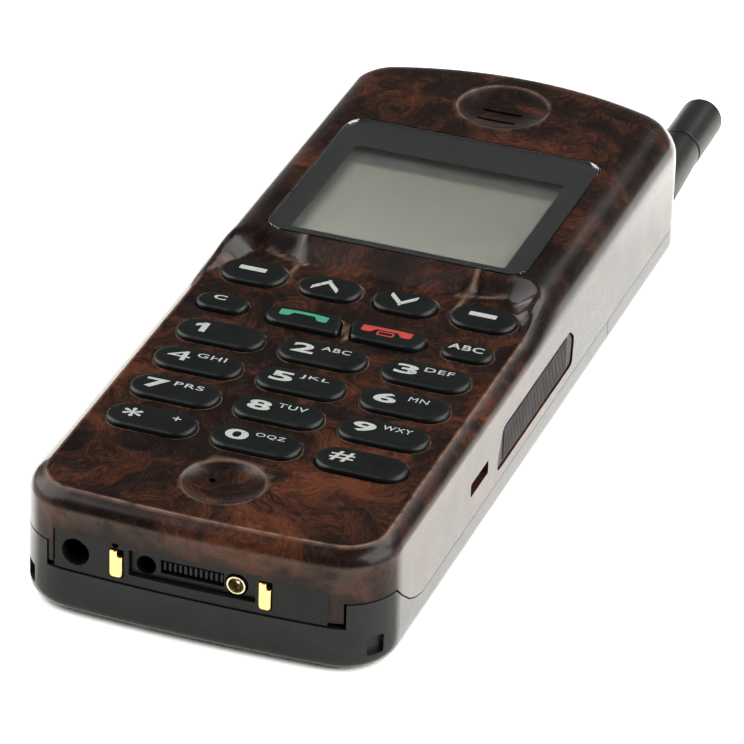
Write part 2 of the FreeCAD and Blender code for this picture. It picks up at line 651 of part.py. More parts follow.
def make_antenna_rod():
    wire = rod_y(ANTENNA_X, ANTENNA_Z, ROD_R, ROD_END_Y, ANTENNA_JOINT_Y + 7.9)
    stop = rod_y(ANTENNA_X, ANTENNA_Z, ROD_STOP_R, ROD_END_Y, ROD_END_Y + 5.0)
    return joined([wire, stop])


def make_antenna_collar():
    """A tapered sleeve that is screwed into the shell; the rod slides in it."""
    sleeve = cone_y(ANTENNA_X, ANTENNA_Z, 4.1, ANTENNA_CAP_R - 0.1, 64.0, ANTENNA_JOINT_Y)
    sleeve = sleeve.cut(plan_block(-0.02, 0, 22))
    spigot = rod_y(ANTENNA_X, ANTENNA_Z, SPIGOT_R, 63.5, 72.0)
    return joined([sleeve, spigot]).cut(rod_y(ANTENNA_X, ANTENNA_Z, ROD_R + RUNNING_FIT, 0, 100))


def make_antenna_tube():
    tube = rod_y(ANTENNA_X, ANTENNA_Z, 2.3, ROD_END_Y - 1.5, 63.4)
    return tube.cut(rod_y(ANTENNA_X, ANTENNA_Z, ROD_STOP_R + RUNNING_FIT, ROD_END_Y - 0.5, 100))


def make_housing_screws():
    screws = []
    for x, y in SCREW_SPOTS:
        head = rod_z(x, y, 1.85, SCREW_HEAD_Z, SCREW_HEAD_Z + 1.25)
        slot = joined([box(x - 1.2, x + 1.2, y - 0.25, y + 0.25, SCREW_HEAD_Z - 1, SCREW_HEAD_Z + 0.6),
                       box(x - 0.25, x + 0.25, y - 1.2, y + 1.2, SCREW_HEAD_Z - 1, SCREW_HEAD_Z + 0.6)])
        screws.append(joined([head, rod_z(x, y, 0.95, SCREW_HEAD_Z + 1.2, SCREW_TIP_Z)]).cut(slot))
    return Part.makeCompound(screws)


# ---- the whole object ---------------------------------------------------------------------------
def all_pieces():
    pieces = {
        "front_cover": make_front_cover(),
        "rear_housing": make_rear_housing(),
        "side_grip_right": make_side_grip(1),
        "side_grip_left": make_side_grip(-1),
        "display_window": make_display_window(),
        "lcd_panel": make_lcd_panel(),
        "lcd_frame": make_lcd_frame(),
        "light_guide": make_light_guide(),
        "lcd_connector_strip": make_connector_strips(),
        "keypad_mat": make_keypad_mat(),
        "main_board": make_main_board(),
        "rf_shield": shield_can(-21.0, 17.0, 22.0, 44.0, 9.6, BOARD_Z[0] - 0.05),
        "logic_shield": shield_can(-21.0, 19.0, -50.0, -18.0, 9.6, BOARD_Z[0] - 0.05),
        "board_chips": make_board_chips(),
        "earpiece_speaker": make_earpiece_speaker(),
        "speaker_gasket": make_speaker_gasket(),
        "microphone": make_microphone(),
        "microphone_boot": make_microphone_boot(),
        "ringer": make_ringer(),
        "connector_plate": make_connector_plate(),
        "system_connector": make_system_connector(),
        "connector_pins": make_connector_pins(),
        "coax_socket": make_coax_socket(),
        "charge_contacts": make_charge_contacts(),
        "dc_jack": make_dc_jack(),
        "dc_jack_pin": make_dc_jack_pin(),
        "antenna_cap": make_antenna_cap(),
        "antenna_rod": make_antenna_rod(),
        "antenna_collar": make_antenna_collar(),
        "antenna_tube": make_antenna_tube(),
        "battery_case": make_battery_case(),
        "battery_lid": make_battery_lid(),
        "battery_cells": make_battery_cells(),
        "battery_terminals": make_battery_terminals(),
        "battery_contacts": make_battery_contacts(),
        "battery_latch": make_battery_latch(),
        "housing_screws": make_housing_screws(),
    }
    for name, x, y, outline in key_table():
        pieces[name] = key_flange_gap(make_key(outline), name)
    return pieces


os.makedirs("parts", exist_ok=True)
for node, shape in all_pieces().items():
    if not shape.isValid():
        print("not valid:", node)
    print(node, "solids", len(shape.Solids), "volume", round(shape.Volume, 1))
    shape.exportStep("parts/" + node + ".step")
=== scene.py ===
# %% [markdown]
# A slim mobile handset of the mid 1990s with a burl-look cover.
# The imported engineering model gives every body, node and place. Each cell below makes one
# visible piece or one finish for it. Lengths are written in millimetres and turned into
# Blender's metres by one factor.

# %% Load the frame
import math

import bpy
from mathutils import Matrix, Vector
from mathutils.kdtree import KDTree


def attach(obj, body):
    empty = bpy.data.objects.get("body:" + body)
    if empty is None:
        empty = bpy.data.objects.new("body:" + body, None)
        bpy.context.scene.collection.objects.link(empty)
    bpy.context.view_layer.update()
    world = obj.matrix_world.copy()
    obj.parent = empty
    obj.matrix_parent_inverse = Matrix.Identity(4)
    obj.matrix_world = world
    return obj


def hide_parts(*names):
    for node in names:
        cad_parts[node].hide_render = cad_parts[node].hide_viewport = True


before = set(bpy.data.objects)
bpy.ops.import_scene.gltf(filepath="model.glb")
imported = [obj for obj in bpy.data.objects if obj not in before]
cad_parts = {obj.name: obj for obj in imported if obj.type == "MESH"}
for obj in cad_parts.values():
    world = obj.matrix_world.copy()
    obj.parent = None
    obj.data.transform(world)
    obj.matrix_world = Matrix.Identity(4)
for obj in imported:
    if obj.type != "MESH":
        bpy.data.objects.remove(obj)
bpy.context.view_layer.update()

MM = 0.001


# %% [markdown]
# Every piece is made the same way: a primitive, edit-mode operators on chosen faces or edges,
# then modifiers that are applied. These helpers keep that short. An operator acts on all that
# is selected, so each helper starts by clearing the selection.

# %% Helpers for selecting and editing
def take(piece):
    """Makes one object the only selected one, and the active one."""
    bpy.ops.object.select_all(action="DESELECT")
    piece.select_set(True)
    bpy.context.view_layer.objects.active = piece


def edit(piece, kind, test):
    """Enters edit mode with only those vertices, edges or faces selected that pass the test."""
    take(piece)
    bpy.ops.object.mode_set(mode="EDIT")
    bpy.ops.mesh.select_mode(type=kind)
    bpy.ops.mesh.select_all(action="DESELECT")
    bpy.ops.object.mode_set(mode="OBJECT")
    mesh = piece.data
    if kind == "VERT":
        for vertex in mesh.vertices:
            vertex.select = test(vertex.co / MM)
    elif kind == "EDGE":
        for edge in mesh.edges:
            a, b = (mesh.vertices[i].co / MM for i in edge.vertices)
            edge.select = test(a, b)
    else:
        for face in mesh.polygons:
            face.select = test(face.center / MM, face.normal)
    bpy.ops.object.mode_set(mode="EDIT")


def done():
    bpy.ops.object.mode_set(mode="OBJECT")


def place(piece, name):
    """Bakes an object's place into its mesh and names it."""
    take(piece)
    bpy.ops.object.transform_apply(location=True, rotation=True, scale=True)
    piece.name = name
    piece.data.name = name
    return piece


def apply(piece, kind, **settings):
    """Adds a modifier with these settings and applies it."""
    take(piece)
    modifier = piece.modifiers.new(kind.lower(), kind)
    for key, value in settings.items():
        setattr(modifier, key, value)
    bpy.ops.object.modifier_apply(modifier=modifier.name)
    return piece


def join(pieces, name):
    """Puts several meshes into one object without merging them."""
    take(pieces[0])
    for piece in pieces:
        piece.select_set(True)
    if len(pieces) > 1:
        bpy.ops.object.join()
    pieces[0].name = name
    pieces[0].data.name = name
    return pieces[0]


def carve(piece, cutters, operation="DIFFERENCE"):
    """Cuts, joins or intersects a piece with one or more closed solids, which are used up."""
    cutter = join(cutters, "cutter")
    apply(piece, "BOOLEAN", object=cutter, operation=operation, solver="EXACT")
    bpy.data.objects.remove(cutter)
    return piece


def smooth(piece, degrees=32.0):
    """Smooth shading with sharp edges kept, and flat areas left flat beside rounded ones."""
    take(piece)
    bpy.ops.object.shade_smooth_by_angle(angle=math.radians(degrees))
    return apply(piece, "WEIGHTED_NORMAL", keep_sharp=True, weight=60)


# %% Helpers for plain solids, in millimetres
def block(name, x0, x1, y0, y1, z0, z1):
    bpy.ops.mesh.primitive_cube_add(size=1)
    piece = bpy.context.object
    piece.scale = ((x1 - x0) * MM, (y1 - y0) * MM, (z1 - z0) * MM)
    piece.location = ((x0 + x1) / 2 * MM, (y0 + y1) / 2 * MM, (z0 + z1) / 2 * MM)
    return place(piece, name)


def drum(name, centre, radius, length, axis="Z", sides=64, end_radius=None):
    """A cylinder or cone whose middle is at centre. end_radius is at the far end of the axis."""
    turn = {"X": (0, math.pi / 2, 0), "Y": (-math.pi / 2, 0, 0), "Z": (0, 0, 0)}[axis]
    far = radius if end_radius is None else end_radius
    bpy.ops.mesh.primitive_cone_add(vertices=sides, radius1=radius * MM, radius2=far * MM, depth=length * MM,
                                    location=[c * MM for c in centre], rotation=turn)
    return place(bpy.context.object, name)


def along(axis):
    """A test for edges that run along one axis."""
    others = [i for i in range(3) if i != "XYZ".index(axis)]
    return lambda a, b: all(abs(a[i] - b[i]) < 0.001 for i in others) and (a - b).length > 0.001


def round_edges(piece, test, radius, segments=4):
    edit(piece, "EDGE", test)
    bpy.ops.mesh.bevel(offset=radius * MM, segments=segments, affect="EDGES", clamp_overlap=True)
    done()
    return piece


def close_tips(piece):
    """Merges the two points that a full rounding leaves side by side at each tip."""
    edit(piece, "VERT", lambda co: True)
    bpy.ops.mesh.remove_doubles(threshold=0.02 * MM)
    done()
    return piece


def rounded_block(name, x0, x1, y0, y1, z0, z1, radius, axis="Z", segments=6):
    piece = block(name, x0, x1, y0, y1, z0, z1)
    return round_edges(piece, along(axis), radius, segments)


NEW_PIECES = []


def finish(piece, body, slot, replaced=(), coating=None):
    """Attaches a piece to its body, hides the nodes it stands for, and keeps it for dressing with its
    coating, or with its slot's finish where no coating is given.
    """
    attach(piece, body)
    if replaced:
        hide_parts(*replaced)
    NEW_PIECES.append((piece, coating or slot))
    print(piece.name, "faces", len(piece.data.polygons))
    return piece


# %% [markdown]
# The floor, the light and the camera come first, so that every later cell can be looked at.
# The handset lies on a bright pale floor, which its glossy side shows almost like a mirror.
# Two large soft lamps light it from the left and the right, a smaller one behind draws the
# rims of the round hollows, and the world stays dim so that black plastic stays black. A long
# lens from far away gives the flat perspective.

# %% Stage, lights and camera
CAMERA_AZIMUTH = math.radians(19.28)
CAMERA_ELEVATION = math.radians(29.97)
CAMERA_ROLL = math.radians(1.81)
CAMERA_DISTANCE = 839.86
CAMERA_TARGET = Vector((2.6, -7.68, 10.0))
CAMERA_LENS = 270.4


def make_stage():
    bpy.ops.mesh.primitive_plane_add(size=8.0, location=(0, 0, -0.03 * MM))
    floor = place(bpy.context.object, "floor")
    material = bpy.data.materials.new("pale_floor")
    material.use_nodes = True
    shader = material.node_tree.nodes["Principled BSDF"]
    shader.inputs["Base Color"].default_value = (0.86, 0.85, 0.81, 1)
    shader.inputs["Roughness"].default_value = 0.9
    floor.data.materials.append(material)

    world = bpy.data.worlds.new("soft_world")
    world.use_nodes = True
    world.node_tree.nodes["Background"].inputs["Color"].default_value = (1.0, 0.99, 0.97, 1)
    world.node_tree.nodes["Background"].inputs["Strength"].default_value = 0.13
    bpy.context.scene.world = world


def add_lamp(name, position, aim, size, power):
    bpy.ops.object.light_add(type="AREA", location=position)
    lamp = bpy.context.object
    lamp.name = name
    lamp.data.size = size
    lamp.data.energy = power
    lamp.rotation_euler = (Vector(aim) - Vector(position)).to_track_quat("-Z", "Y").to_euler()
    return lamp


def make_camera():
    back = Vector((math.sin(CAMERA_AZIMUTH) * math.cos(CAMERA_ELEVATION),
                   -math.cos(CAMERA_AZIMUTH) * math.cos(CAMERA_ELEVATION),
                   math.sin(CAMERA_ELEVATION)))
    bpy.ops.object.camera_add(location=(CAMERA_TARGET + back * CAMERA_DISTANCE) * MM)
    camera = bpy.context.object
    turn = (-back).to_track_quat("-Z", "Y").to_matrix().to_4x4()
    from_roll = turn @ turn.Rotation(CAMERA_ROLL, 4, "Z")
    camera.rotation_euler = from_roll.to_euler()
    camera.data.lens = CAMERA_LENS
    camera.data.sensor_width = 36.0
    camera.data.clip_start = 0.01
    bpy.context.scene.camera = camera


LAMPS = {   # name: position and aim in metres, side length in metres, watts
    "left_light": ((-1.7, -0.1, 1.3), (0, 0, 0), 2.3, 122.0),
    "right_light": ((1.9, 0.0, 1.2), (0.05, 0.05, 0), 2.2, 145.0),
    "back_light": ((0.42, 0.66, 0.86), (0, 0, 0), 0.6, 10.0),
}
make_stage()
for name, lamp_spec in LAMPS.items():
    add_lamp(name, *lamp_spec)
make_camera()
bpy.context.scene.view_settings.view_transform = "Standard"


# %% [markdown]
# Seen from the front, the body is a rectangle with rounded corners and two bowed ends. The
# cover, the back shell and the battery all follow that one line, so it is worked out once:
# each point comes with the direction that faces outwards, and moving every point the same
# way inwards along it gives the line of a smaller ring.

# %% The body's outline
HALF_WIDTH = 28.0
HALF_LENGTH = 74.0
END_SHAPES = {1: (60.0, 9.0), -1: (300.0, 8.5)}   # side: radius of the bowed end, radius of its corners
CORNER_STEPS, END_STEPS = 10, 24


def end_points(side, corner_steps, end_steps, half_corner=False):
    """(point, outward direction) from the left corner, over the end, to the right corner."""
    end_radius, corner = END_SHAPES[side]
    centre_y = side * (HALF_LENGTH - end_radius)
    corner_x = HALF_WIDTH - corner
    corner_y = centre_y + side * math.sqrt((end_radius - corner) ** 2 - corner_x ** 2)
    touch = math.asin(corner_x / (end_radius - corner))
    last = math.pi / 2 - touch
    first = last / 2 if half_corner else 0.0

    def corner_point(x_side, angle):
        out = Vector((x_side * math.cos(angle), side * math.sin(angle), 0))
        return Vector((x_side * corner_x, corner_y, 0)) + out * corner, out

    points = [corner_point(-1, first + (last - first) * k / corner_steps) for k in range(corner_steps)]
    for k in range(end_steps + 1):
        angle = touch * (2 * k / end_steps - 1)
        out = Vector((math.sin(angle), side * math.cos(angle), 0))
        points.append((Vector((0, centre_y, 0)) + out * end_radius, out))
    points += [corner_point(1, last - (last - first) * k / corner_steps) for k in range(1, corner_steps + 1)]
    return points


def side_heights(rows):
    """y positions along the straight side, from its lower corner to its upper one."""
    low = end_points(-1, 1, 1)[0][0].y
    high = end_points(1, 1, 1)[0][0].y
    return [low] + [y for y in rows if low < y < high] + [high]


def outline_points():
    """The closed outline, anticlockwise from the lower left corner."""
    return end_points(-1, CORNER_STEPS, END_STEPS) + end_points(1, CORNER_STEPS, END_STEPS)[::-1]


def ring(points, inset, z):
    return [point - out * inset + Vector((0, 0, z)) for point, out in points]


def follow(piece, start, rings):
    """Extrudes what is selected once per ring, and moves each new point to its place there."""
    for places in rings:
        tree = KDTree(len(start))
        for index, point in enumerate(start):
            tree.insert(point, index)
        tree.balance()
        bpy.ops.mesh.extrude_region_move()
        done()
        for vertex in piece.data.vertices:
            if vertex.select:
                vertex.co = places[tree.find(vertex.co / MM)[1]] * MM
        bpy.ops.object.mode_set(mode="EDIT")
        start = places
    return start


def outline_solid(name, stack):
    """A closed solid whose rings follow the outline. stack holds (inset, z) from the bottom up."""
    points = outline_points()
    bpy.ops.object.select_all(action="DESELECT")
    bpy.ops.mesh.primitive_circle_add(vertices=len(points), radius=0.03, fill_type="NGON")
    piece = bpy.context.object
    first = ring(points, *stack[0])
    for vertex, place_at in zip(piece.data.vertices, first):
        vertex.co = place_at * MM
    bpy.ops.object.mode_set(mode="EDIT")
    bpy.ops.mesh.select_mode(type="FACE")
    bpy.ops.mesh.select_all(action="SELECT")
    follow(piece, first, [ring(points, inset, z) for inset, z in stack[1:]])
    bpy.ops.mesh.select_all(action="SELECT")
    bpy.ops.mesh.normals_make_consistent(inside=False)
    done()
    return place(piece, name)


print("outline points:", len(outline_points()))


# %% [markdown]
# The front cover is one thin moulding with soft compound curves, so its skin gets an even
# grid of faces before anything is cut. A grid covers the middle; its border is then extruded
# outwards ring by ring, and each ring keeps its distance from the outline. Every point's
# height comes from one rule: the lower of the rounded shell and of the flat keypad floor
# that rises at its edge. Blending the two softly gives the crease that curls round the
# upper keys.

# %% Height of the cover's skin
SEAM = 5.1
FACE = 19.8
HEAD = 22.7
SHOULDER = 5.8
BEVEL = ((0.0, 2.6), (0.35, 1.5), (1.1, 0.7), (2.3, 0.0))   # inset, drop below the keypad face
RISE_Y = (-10.0, 6.5)        # where the keypad's shell turns into the head's
FLOOR_HALF = 25.45           # half width of the keypad floor, low down
FLOOR_PULL = 4.3             # how far it narrows towards the display
BROW_Y = 2.7                 # foot of the slope up to the display
NOTCH_X, NOTCH = (12.7, 15.0), 2.0   # beside the soft keys the foot lies further up
STEEPER = 0.85               # and the slope is steeper there, so that it ends at the same line
BROW_CORNER = 2.5
SLOPE = 0.65
CREASE = 0.3                 # softness of the fold between floor and slope


def keypad_drop(inset):
    for (near, drop), (far, next_drop) in zip(BEVEL, BEVEL[1:]):
        if inset < far:
            return drop + (next_drop - drop) * (inset - near) / (far - near)
    return 0.0


def head_drop(inset):
    return SHOULDER - math.sqrt(SHOULDER ** 2 - max(SHOULDER - inset, 0.0) ** 2)


def soft_step(low, high, value):
    t = min(max((value - low) / (high - low), 0.0), 1.0)
    return t * t * (3 - 2 * t)


def skin_height(x, y, inset):
    """Height of the outer skin, in millimetres."""
    rise = soft_step(*RISE_Y, y)
    shell = (FACE - keypad_drop(inset)) * (1 - rise) + (HEAD - head_drop(inset)) * rise
    side = FLOOR_HALF - FLOOR_PULL * soft_step(-9.0, 4.5, y) ** 1.3
    notch = soft_step(*NOTCH_X, abs(x))
    across, along_y = abs(x) - side, (y - (BROW_Y + NOTCH * notch)) * (1 + STEEPER * notch)
    past_x, past_y = max(across + BROW_CORNER, 0.0), max(along_y + BROW_CORNER, 0.0)
    beyond = max(math.hypot(past_x, past_y) - BROW_CORNER, 0.0)
    floor = FACE + 0.06 + SLOPE * beyond
    mix = max(CREASE - abs(shell - floor), 0.0) / CREASE
    return min(shell, floor) - mix * mix * CREASE / 4


# %% The cover's skin as a grid and rings
COLUMNS = 80
HALF_CORNER = 6
INNER_INSET = 8.0
COVER_RINGS = (7.4, 6.8, 6.2, 5.6, 5.0, 4.4, 3.8, 3.2, 2.75, 2.42, 2.3, 2.18, 1.7, 1.1, 0.7, 0.35, 0.15, 0.0)
ROW_RUNS = ((-64.0, 2.0, 26), (-12.0, 0.5, 42), (9.0, 2.0, 27))   # first y, step, count: fine at the slope

rows = [first + step * k for first, step, count in ROW_RUNS for k in range(count)]
bottom = end_points(-1, HALF_CORNER, COLUMNS - 2 * HALF_CORNER, half_corner=True)
top = end_points(1, HALF_CORNER, COLUMNS - 2 * HALF_CORNER, half_corner=True)


def side_points(x_side):
    """From the middle of the lower corner, up the side, to the middle of the upper corner."""
    low, high = end_points(-1, 2 * HALF_CORNER, 1), end_points(1, 2 * HALF_CORNER, 1)
    if x_side > 0:
        low, high = low[::-1], high[::-1]
    out = Vector((x_side, 0, 0))
    straight = [(Vector((x_side * HALF_WIDTH, y, 0)), out) for y in side_heights(rows)]
    return low[HALF_CORNER:0:-1] + straight + high[1:HALF_CORNER + 1]


left, right = side_points(-1), side_points(1)
row_count = len(left) - 1


def skin_ring(points, inset):
    places = [point - out * inset for point, out in points]
    return [Vector((p.x, p.y, skin_height(p.x, p.y, inset))) for p in places]


def patch(u, v, low, high, west, east):
    """A point of the middle, blended from its four borders."""
    i, j = round(u * COLUMNS), round(v * row_count)
    across = low[i] * (1 - v) + high[i] * v
    upward = west[j] * (1 - u) + east[j] * u
    corners = (low[0] * (1 - u) + low[-1] * u) * (1 - v) + (high[0] * (1 - u) + high[-1] * u) * v
    return across + upward - corners


bpy.ops.object.select_all(action="DESELECT")
bpy.ops.mesh.primitive_grid_add(x_subdivisions=COLUMNS, y_subdivisions=row_count, size=1)
cover = bpy.context.object
borders = [ring(line, INNER_INSET, 0) for line in (bottom, top, left, right)]
for vertex in cover.data.vertices:
    spot = patch(vertex.co.x + 0.5, vertex.co.y + 0.5, *borders)
    vertex.co = Vector((spot.x, spot.y, skin_height(spot.x, spot.y, INNER_INSET))) * MM

border_line = bottom[:-1] + right[:-1] + top[:0:-1] + left[:0:-1]
bpy.ops.object.mode_set(mode="EDIT")
bpy.ops.mesh.select_mode(type="EDGE")
bpy.ops.mesh.select_all(action="DESELECT")
bpy.ops.mesh.select_non_manifold()
skin_rings = [skin_ring(border_line, inset) for inset in COVER_RINGS]
rim = follow(cover, skin_ring(border_line, INNER_INSET), skin_rings)
foot = [Vector((p.x, p.y, SEAM)) for p in rim]
follow(cover, rim, [foot])
bpy.ops.mesh.edge_face_add()
bpy.ops.mesh.select_all(action="SELECT")
bpy.ops.mesh.normals_make_consistent(inside=False)
done()
place(cover, "burl_cover")
print("cover faces before cutting:", len(cover.data.polygons))


# %% [markdown]
# A moulded cover has a wall of even thickness. The skin is closed at the bottom for now, and
# two simple inner blocks are taken out of it, one under the keypad and one under the display.
# That leaves a real shell and keeps the cuts clean, where a thickness modifier would fold over
# itself at the tight edges.

# %% Hollow the cover
WALL = 1.6
lower_core = outline_solid("lower_core", [(WALL, SEAM - 2), (WALL, 17.0), (WALL + 1.2, 18.2)])
carve(cover, [lower_core])
HEAD_CORE = [(WALL, SEAM - 1), (WALL, 16.4), (2.6, 19.0), (4.4, 20.6), (SHOULDER, 21.1)]   # inset, height
head_core = outline_solid("head_core", HEAD_CORE)
edit(head_core, "FACE", lambda centre, normal: True)
bpy.ops.mesh.bisect(plane_co=(0, 6.6 * MM, 0), plane_no=(0, -1, 0), use_fill=True, clear_outer=True)
done()
carve(cover, [head_core])
print("cover faces when hollow:", len(cover.data.polygons))


# %% [markdown]
# Keys are bars with round ends. One helper makes such a bar at any size: it serves for the
# keys, and a little larger for their holes. The call and end keys meet at two slanted ends.

# %% Key outlines
KEY_TOP = 20.55
DIGIT, SMALL, SOFT, ARROW, CALL = (13.8, 6.4), (8.0, 4.8), (10.4, 6.9), (9.9, 6.3), (12.3, 5.2)
PITCH_X, PITCH_Y = 16.14, 9.03
FIRST_ROW_Y = -22.4
KEYS = {
    "soft_key_left": (-18.4, -2.9, SOFT), "soft_key_right": (18.4, -2.9, SOFT),
    "up_key": (-6.1, -3.1, ARROW), "down_key": (5.9, -3.1, ARROW),
    "clear_key": (-19.46, -13.4, SMALL), "letters_key": (19.46, -13.4, SMALL),
    "call_key": (-6.15, -13.5, CALL), "end_key": (6.75, -13.5, CALL),
}
DIGIT_NAMES = ("one", "two", "three", "four", "five", "six", "seven", "eight", "nine", "star", "zero", "hash")
for number, digit in enumerate(DIGIT_NAMES):
    KEYS["key_" + digit] = ((number % 3 - 1) * PITCH_X, FIRST_ROW_Y - number // 3 * PITCH_Y, DIGIT)


def key_bar(name, low, high, grow=0.0):
    """An upright bar in the key's outline, between two heights."""
    x, y, (length, width) = KEYS[name]
    half_l, half_w = length / 2 + grow, width / 2 + grow
    piece = block(name, x - half_l, x + half_l, y - half_w, y + half_w, low, high)
    slant = {"call_key": (1, -1.2, 0.0), "end_key": (-1, 0.0, 1.2)}.get(name)
    if slant:
        inner_side, upper_shift, lower_shift = slant
        for row, shift in ((1, upper_shift), (-1, lower_shift)):
            edit(piece, "VERT", lambda co: (co.x - x) * inner_side > 0 and (co.y - y) * row > 0)
            bpy.ops.transform.translate(value=(shift * MM, 0, 0))
            done()
        upright = lambda a, b: abs(a.x - b.x) < 0.001 and abs(a.y - b.y) < 0.001
        round_edges(piece, lambda a, b: upright(a, b) and (a.x - x) * inner_side > 0, 1.0 + grow, 5)
        outer = x - inner_side * half_l
        outer_edge = lambda a, b: upright(a, b) and abs(a.x - outer) < 0.01
        return close_tips(round_edges(piece, outer_edge, half_w - 0.005, 12))
    return close_tips(round_edges(piece, along("Z"), half_w - 0.005, 12))


# %% [markdown]
# Everything that is cut through or into the cover comes next: twenty key holes with a small
# flare at the rim, the window's pocket, the two round hollows for ear and mouth, the notch
# for the connectors, the grips and the catch slots in the sides, and the space for the
# battery's raised end. Cutters that don't touch each other are joined, so one cut does them all.

# %% Key holes and window pocket
KEY_CLEARANCE = 0.2
HOLE_FLARE = 0.2
FLARE_HEIGHT = 1.2         # the flare's cutter stands this far above the face
holes = [key_bar(name, 14.0, 25.0, KEY_CLEARANCE) for name in KEYS]
carve(cover, holes)
flares = []
for name in KEYS:
    flare = key_bar(name, FACE - HOLE_FLARE, FACE + FLARE_HEIGHT, KEY_CLEARANCE - 0.02)
    x, y, (length, width) = KEYS[name]
    edit(flare, "FACE", lambda centre, normal: normal.z > 0.9)
    grow = 2 * (FLARE_HEIGHT + HOLE_FLARE)
    stretch = (1 + grow / length, 1 + grow / width, 1)
    bpy.ops.transform.resize(value=stretch, center_override=(x * MM, y * MM, 0))
    done()
    flares.append(flare)
carve(cover, flares[0::2])
carve(cover, flares[1::2])

WINDOW = (-21.0, 21.0, 7.2, 46.6)
SCREEN = (-17.3, 17.3, 9.4, 38.2)
GAP = 0.15
LENS_THICK = 1.1
PANE_CORNER = 3.0
LEDGE = 1.6
x0, x1, y0, y1 = WINDOW
pocket = rounded_block("pocket", x0 - GAP, x1 + GAP, y0 - GAP, y1 + GAP, HEAD - LENS_THICK, 30,
                       PANE_CORNER + GAP)
carve(cover, [pocket])
carve(cover, [rounded_block("opening", x0 + LEDGE, x1 - LEDGE, y0 + LEDGE, SCREEN[3] + 2.0, 15, 30, 1.0)])
print("cover faces with holes:", len(cover.data.polygons))

# %% Ear and mouth hollows
DISH_CURVE = 3.2     # 2 would be a plain bowl; more makes the middle flatter and the rim steeper
EAR = (0.0, 58.9, 7.6, 1.0)   # x, y, radius, depth
MOUTH = (-0.5, -61.0, 6.4, 1.1)


def dish(name, spec, surface):
    """The cutter of a round hollow. Its upper side stands well above the face."""
    x, y, radius, depth = spec
    bpy.ops.object.select_all(action="DESELECT")
    bpy.ops.mesh.primitive_uv_sphere_add(segments=96, ring_count=48, radius=radius * 1.12 * MM)
    piece = bpy.context.object
    for vertex in piece.data.vertices:
        part = math.hypot(vertex.co.x, vertex.co.y) / (radius * MM)
        height = surface + 3 if vertex.co.z > 0.0001 * MM else surface - depth * (1 - part ** DISH_CURVE)
        vertex.co = Vector((vertex.co.x + x * MM, vertex.co.y + y * MM, height * MM))
    return place(piece, name)


def pill(name, x, y, size, low, high):
    """An upright bar with round ends along X."""
    half_l, half_w = size[0] / 2, size[1] / 2
    bar = block(name, x - half_l, x + half_l, y - half_w, y + half_w, low, high)
    return close_tips(round_edges(bar, along("Z"), half_w - 0.003, 8))


ear_pad = drum("ear_pad", (EAR[0], EAR[1], HEAD - EAR[3] - 0.45), EAR[2] + 1.2, 2.1)
mouth_pad = drum("mouth_pad", (MOUTH[0], MOUTH[1], FACE - MOUTH[3] - 0.4), MOUTH[2] + 1.0, 1.8)
carve(cover, [ear_pad, mouth_pad], "UNION")
carve(cover, [dish("ear_dish", EAR, HEAD), dish("mouth_dish", MOUTH, FACE)])
ear_slots = [pill("slot", EAR[0], EAR[1] + y, (6.6, 0.8), 15, 30) for y in (-0.3, -3.5)]
mouth_hole = drum("mouth_hole", (MOUTH[0] - 2.2, MOUTH[1] + 1.2, 19), 0.5, 12, sides=24)
carve(cover, ear_slots + [mouth_hole])

# %% Cuts in the end and the sides
EAR_SPACE_Y = -66.3
EAR_SPACE_TOP = 11.65
PLATE_X = (-21.5, 20.0)


def sheet_x(name, outline, x_low, x_high):
    """A solid with a polygon of (y, z) points, from one x to another."""
    bpy.ops.object.select_all(action="DESELECT")
    bpy.ops.mesh.primitive_circle_add(vertices=len(outline), radius=0.01, fill_type="NGON")
    piece = bpy.context.object
    for vertex, (y, z) in zip(piece.data.vertices, outline):
        vertex.co = Vector((x_low, y, z)) * MM
    bpy.ops.object.mode_set(mode="EDIT")
    bpy.ops.mesh.select_all(action="SELECT")
    bpy.ops.mesh.extrude_region_move(TRANSFORM_OT_translate={"value": ((x_high - x_low) * MM, 0, 0)})
    bpy.ops.mesh.select_all(action="SELECT")
    bpy.ops.mesh.normals_make_consistent(inside=False)
    done()
    return place(piece, name)


RISE = [(EAR_SPACE_Y, 0.0), (EAR_SPACE_Y, EAR_SPACE_TOP), (-64.3, 9.7), (-61.1, 7.25), (-58.4, 5.95),
        (-55.5, SEAM), (-55.5, 0.0)]
carve(cover, [sheet_x("rise", RISE, -40, 40)])
carve(cover, [block("left_ear", -40, -22.35, -90, EAR_SPACE_Y, 0, EAR_SPACE_TOP),
              block("right_ear", 22.35, 40, -90, EAR_SPACE_Y, 0, EAR_SPACE_TOP),
              block("plate_notch", PLATE_X[0] - 0.1, 10.5, -90, -70, 0, 13.95)])
carve(cover, [block("feet_gap", -23, 23, -90, EAR_SPACE_Y + 0.01, 0, 8.4)])
carve(cover, [block("plate_step", 10.4, PLATE_X[1] + 0.1, -90, -70, 0, 13.3)])

GRIP_LINE = [(-23.0, 7.0), (11.4, 7.0), (12.0, 11.3), (9.8, 13.3), (-20.8, 13.3), (-23.0, 9.0)]
GRIP_DEPTH = 0.9
CATCH_Y = (-35.3, -27.6)
CATCH_Z = (9.3, 11.5)


def grown(outline, amount):
    """Moves every point of an outline away from its middle by the same amount along both axes."""
    mid_y = sum(y for y, z in outline) / len(outline)
    mid_z = sum(z for y, z in outline) / len(outline)
    return [(y + math.copysign(amount, y - mid_y), z + math.copysign(amount, z - mid_z)) for y, z in outline]


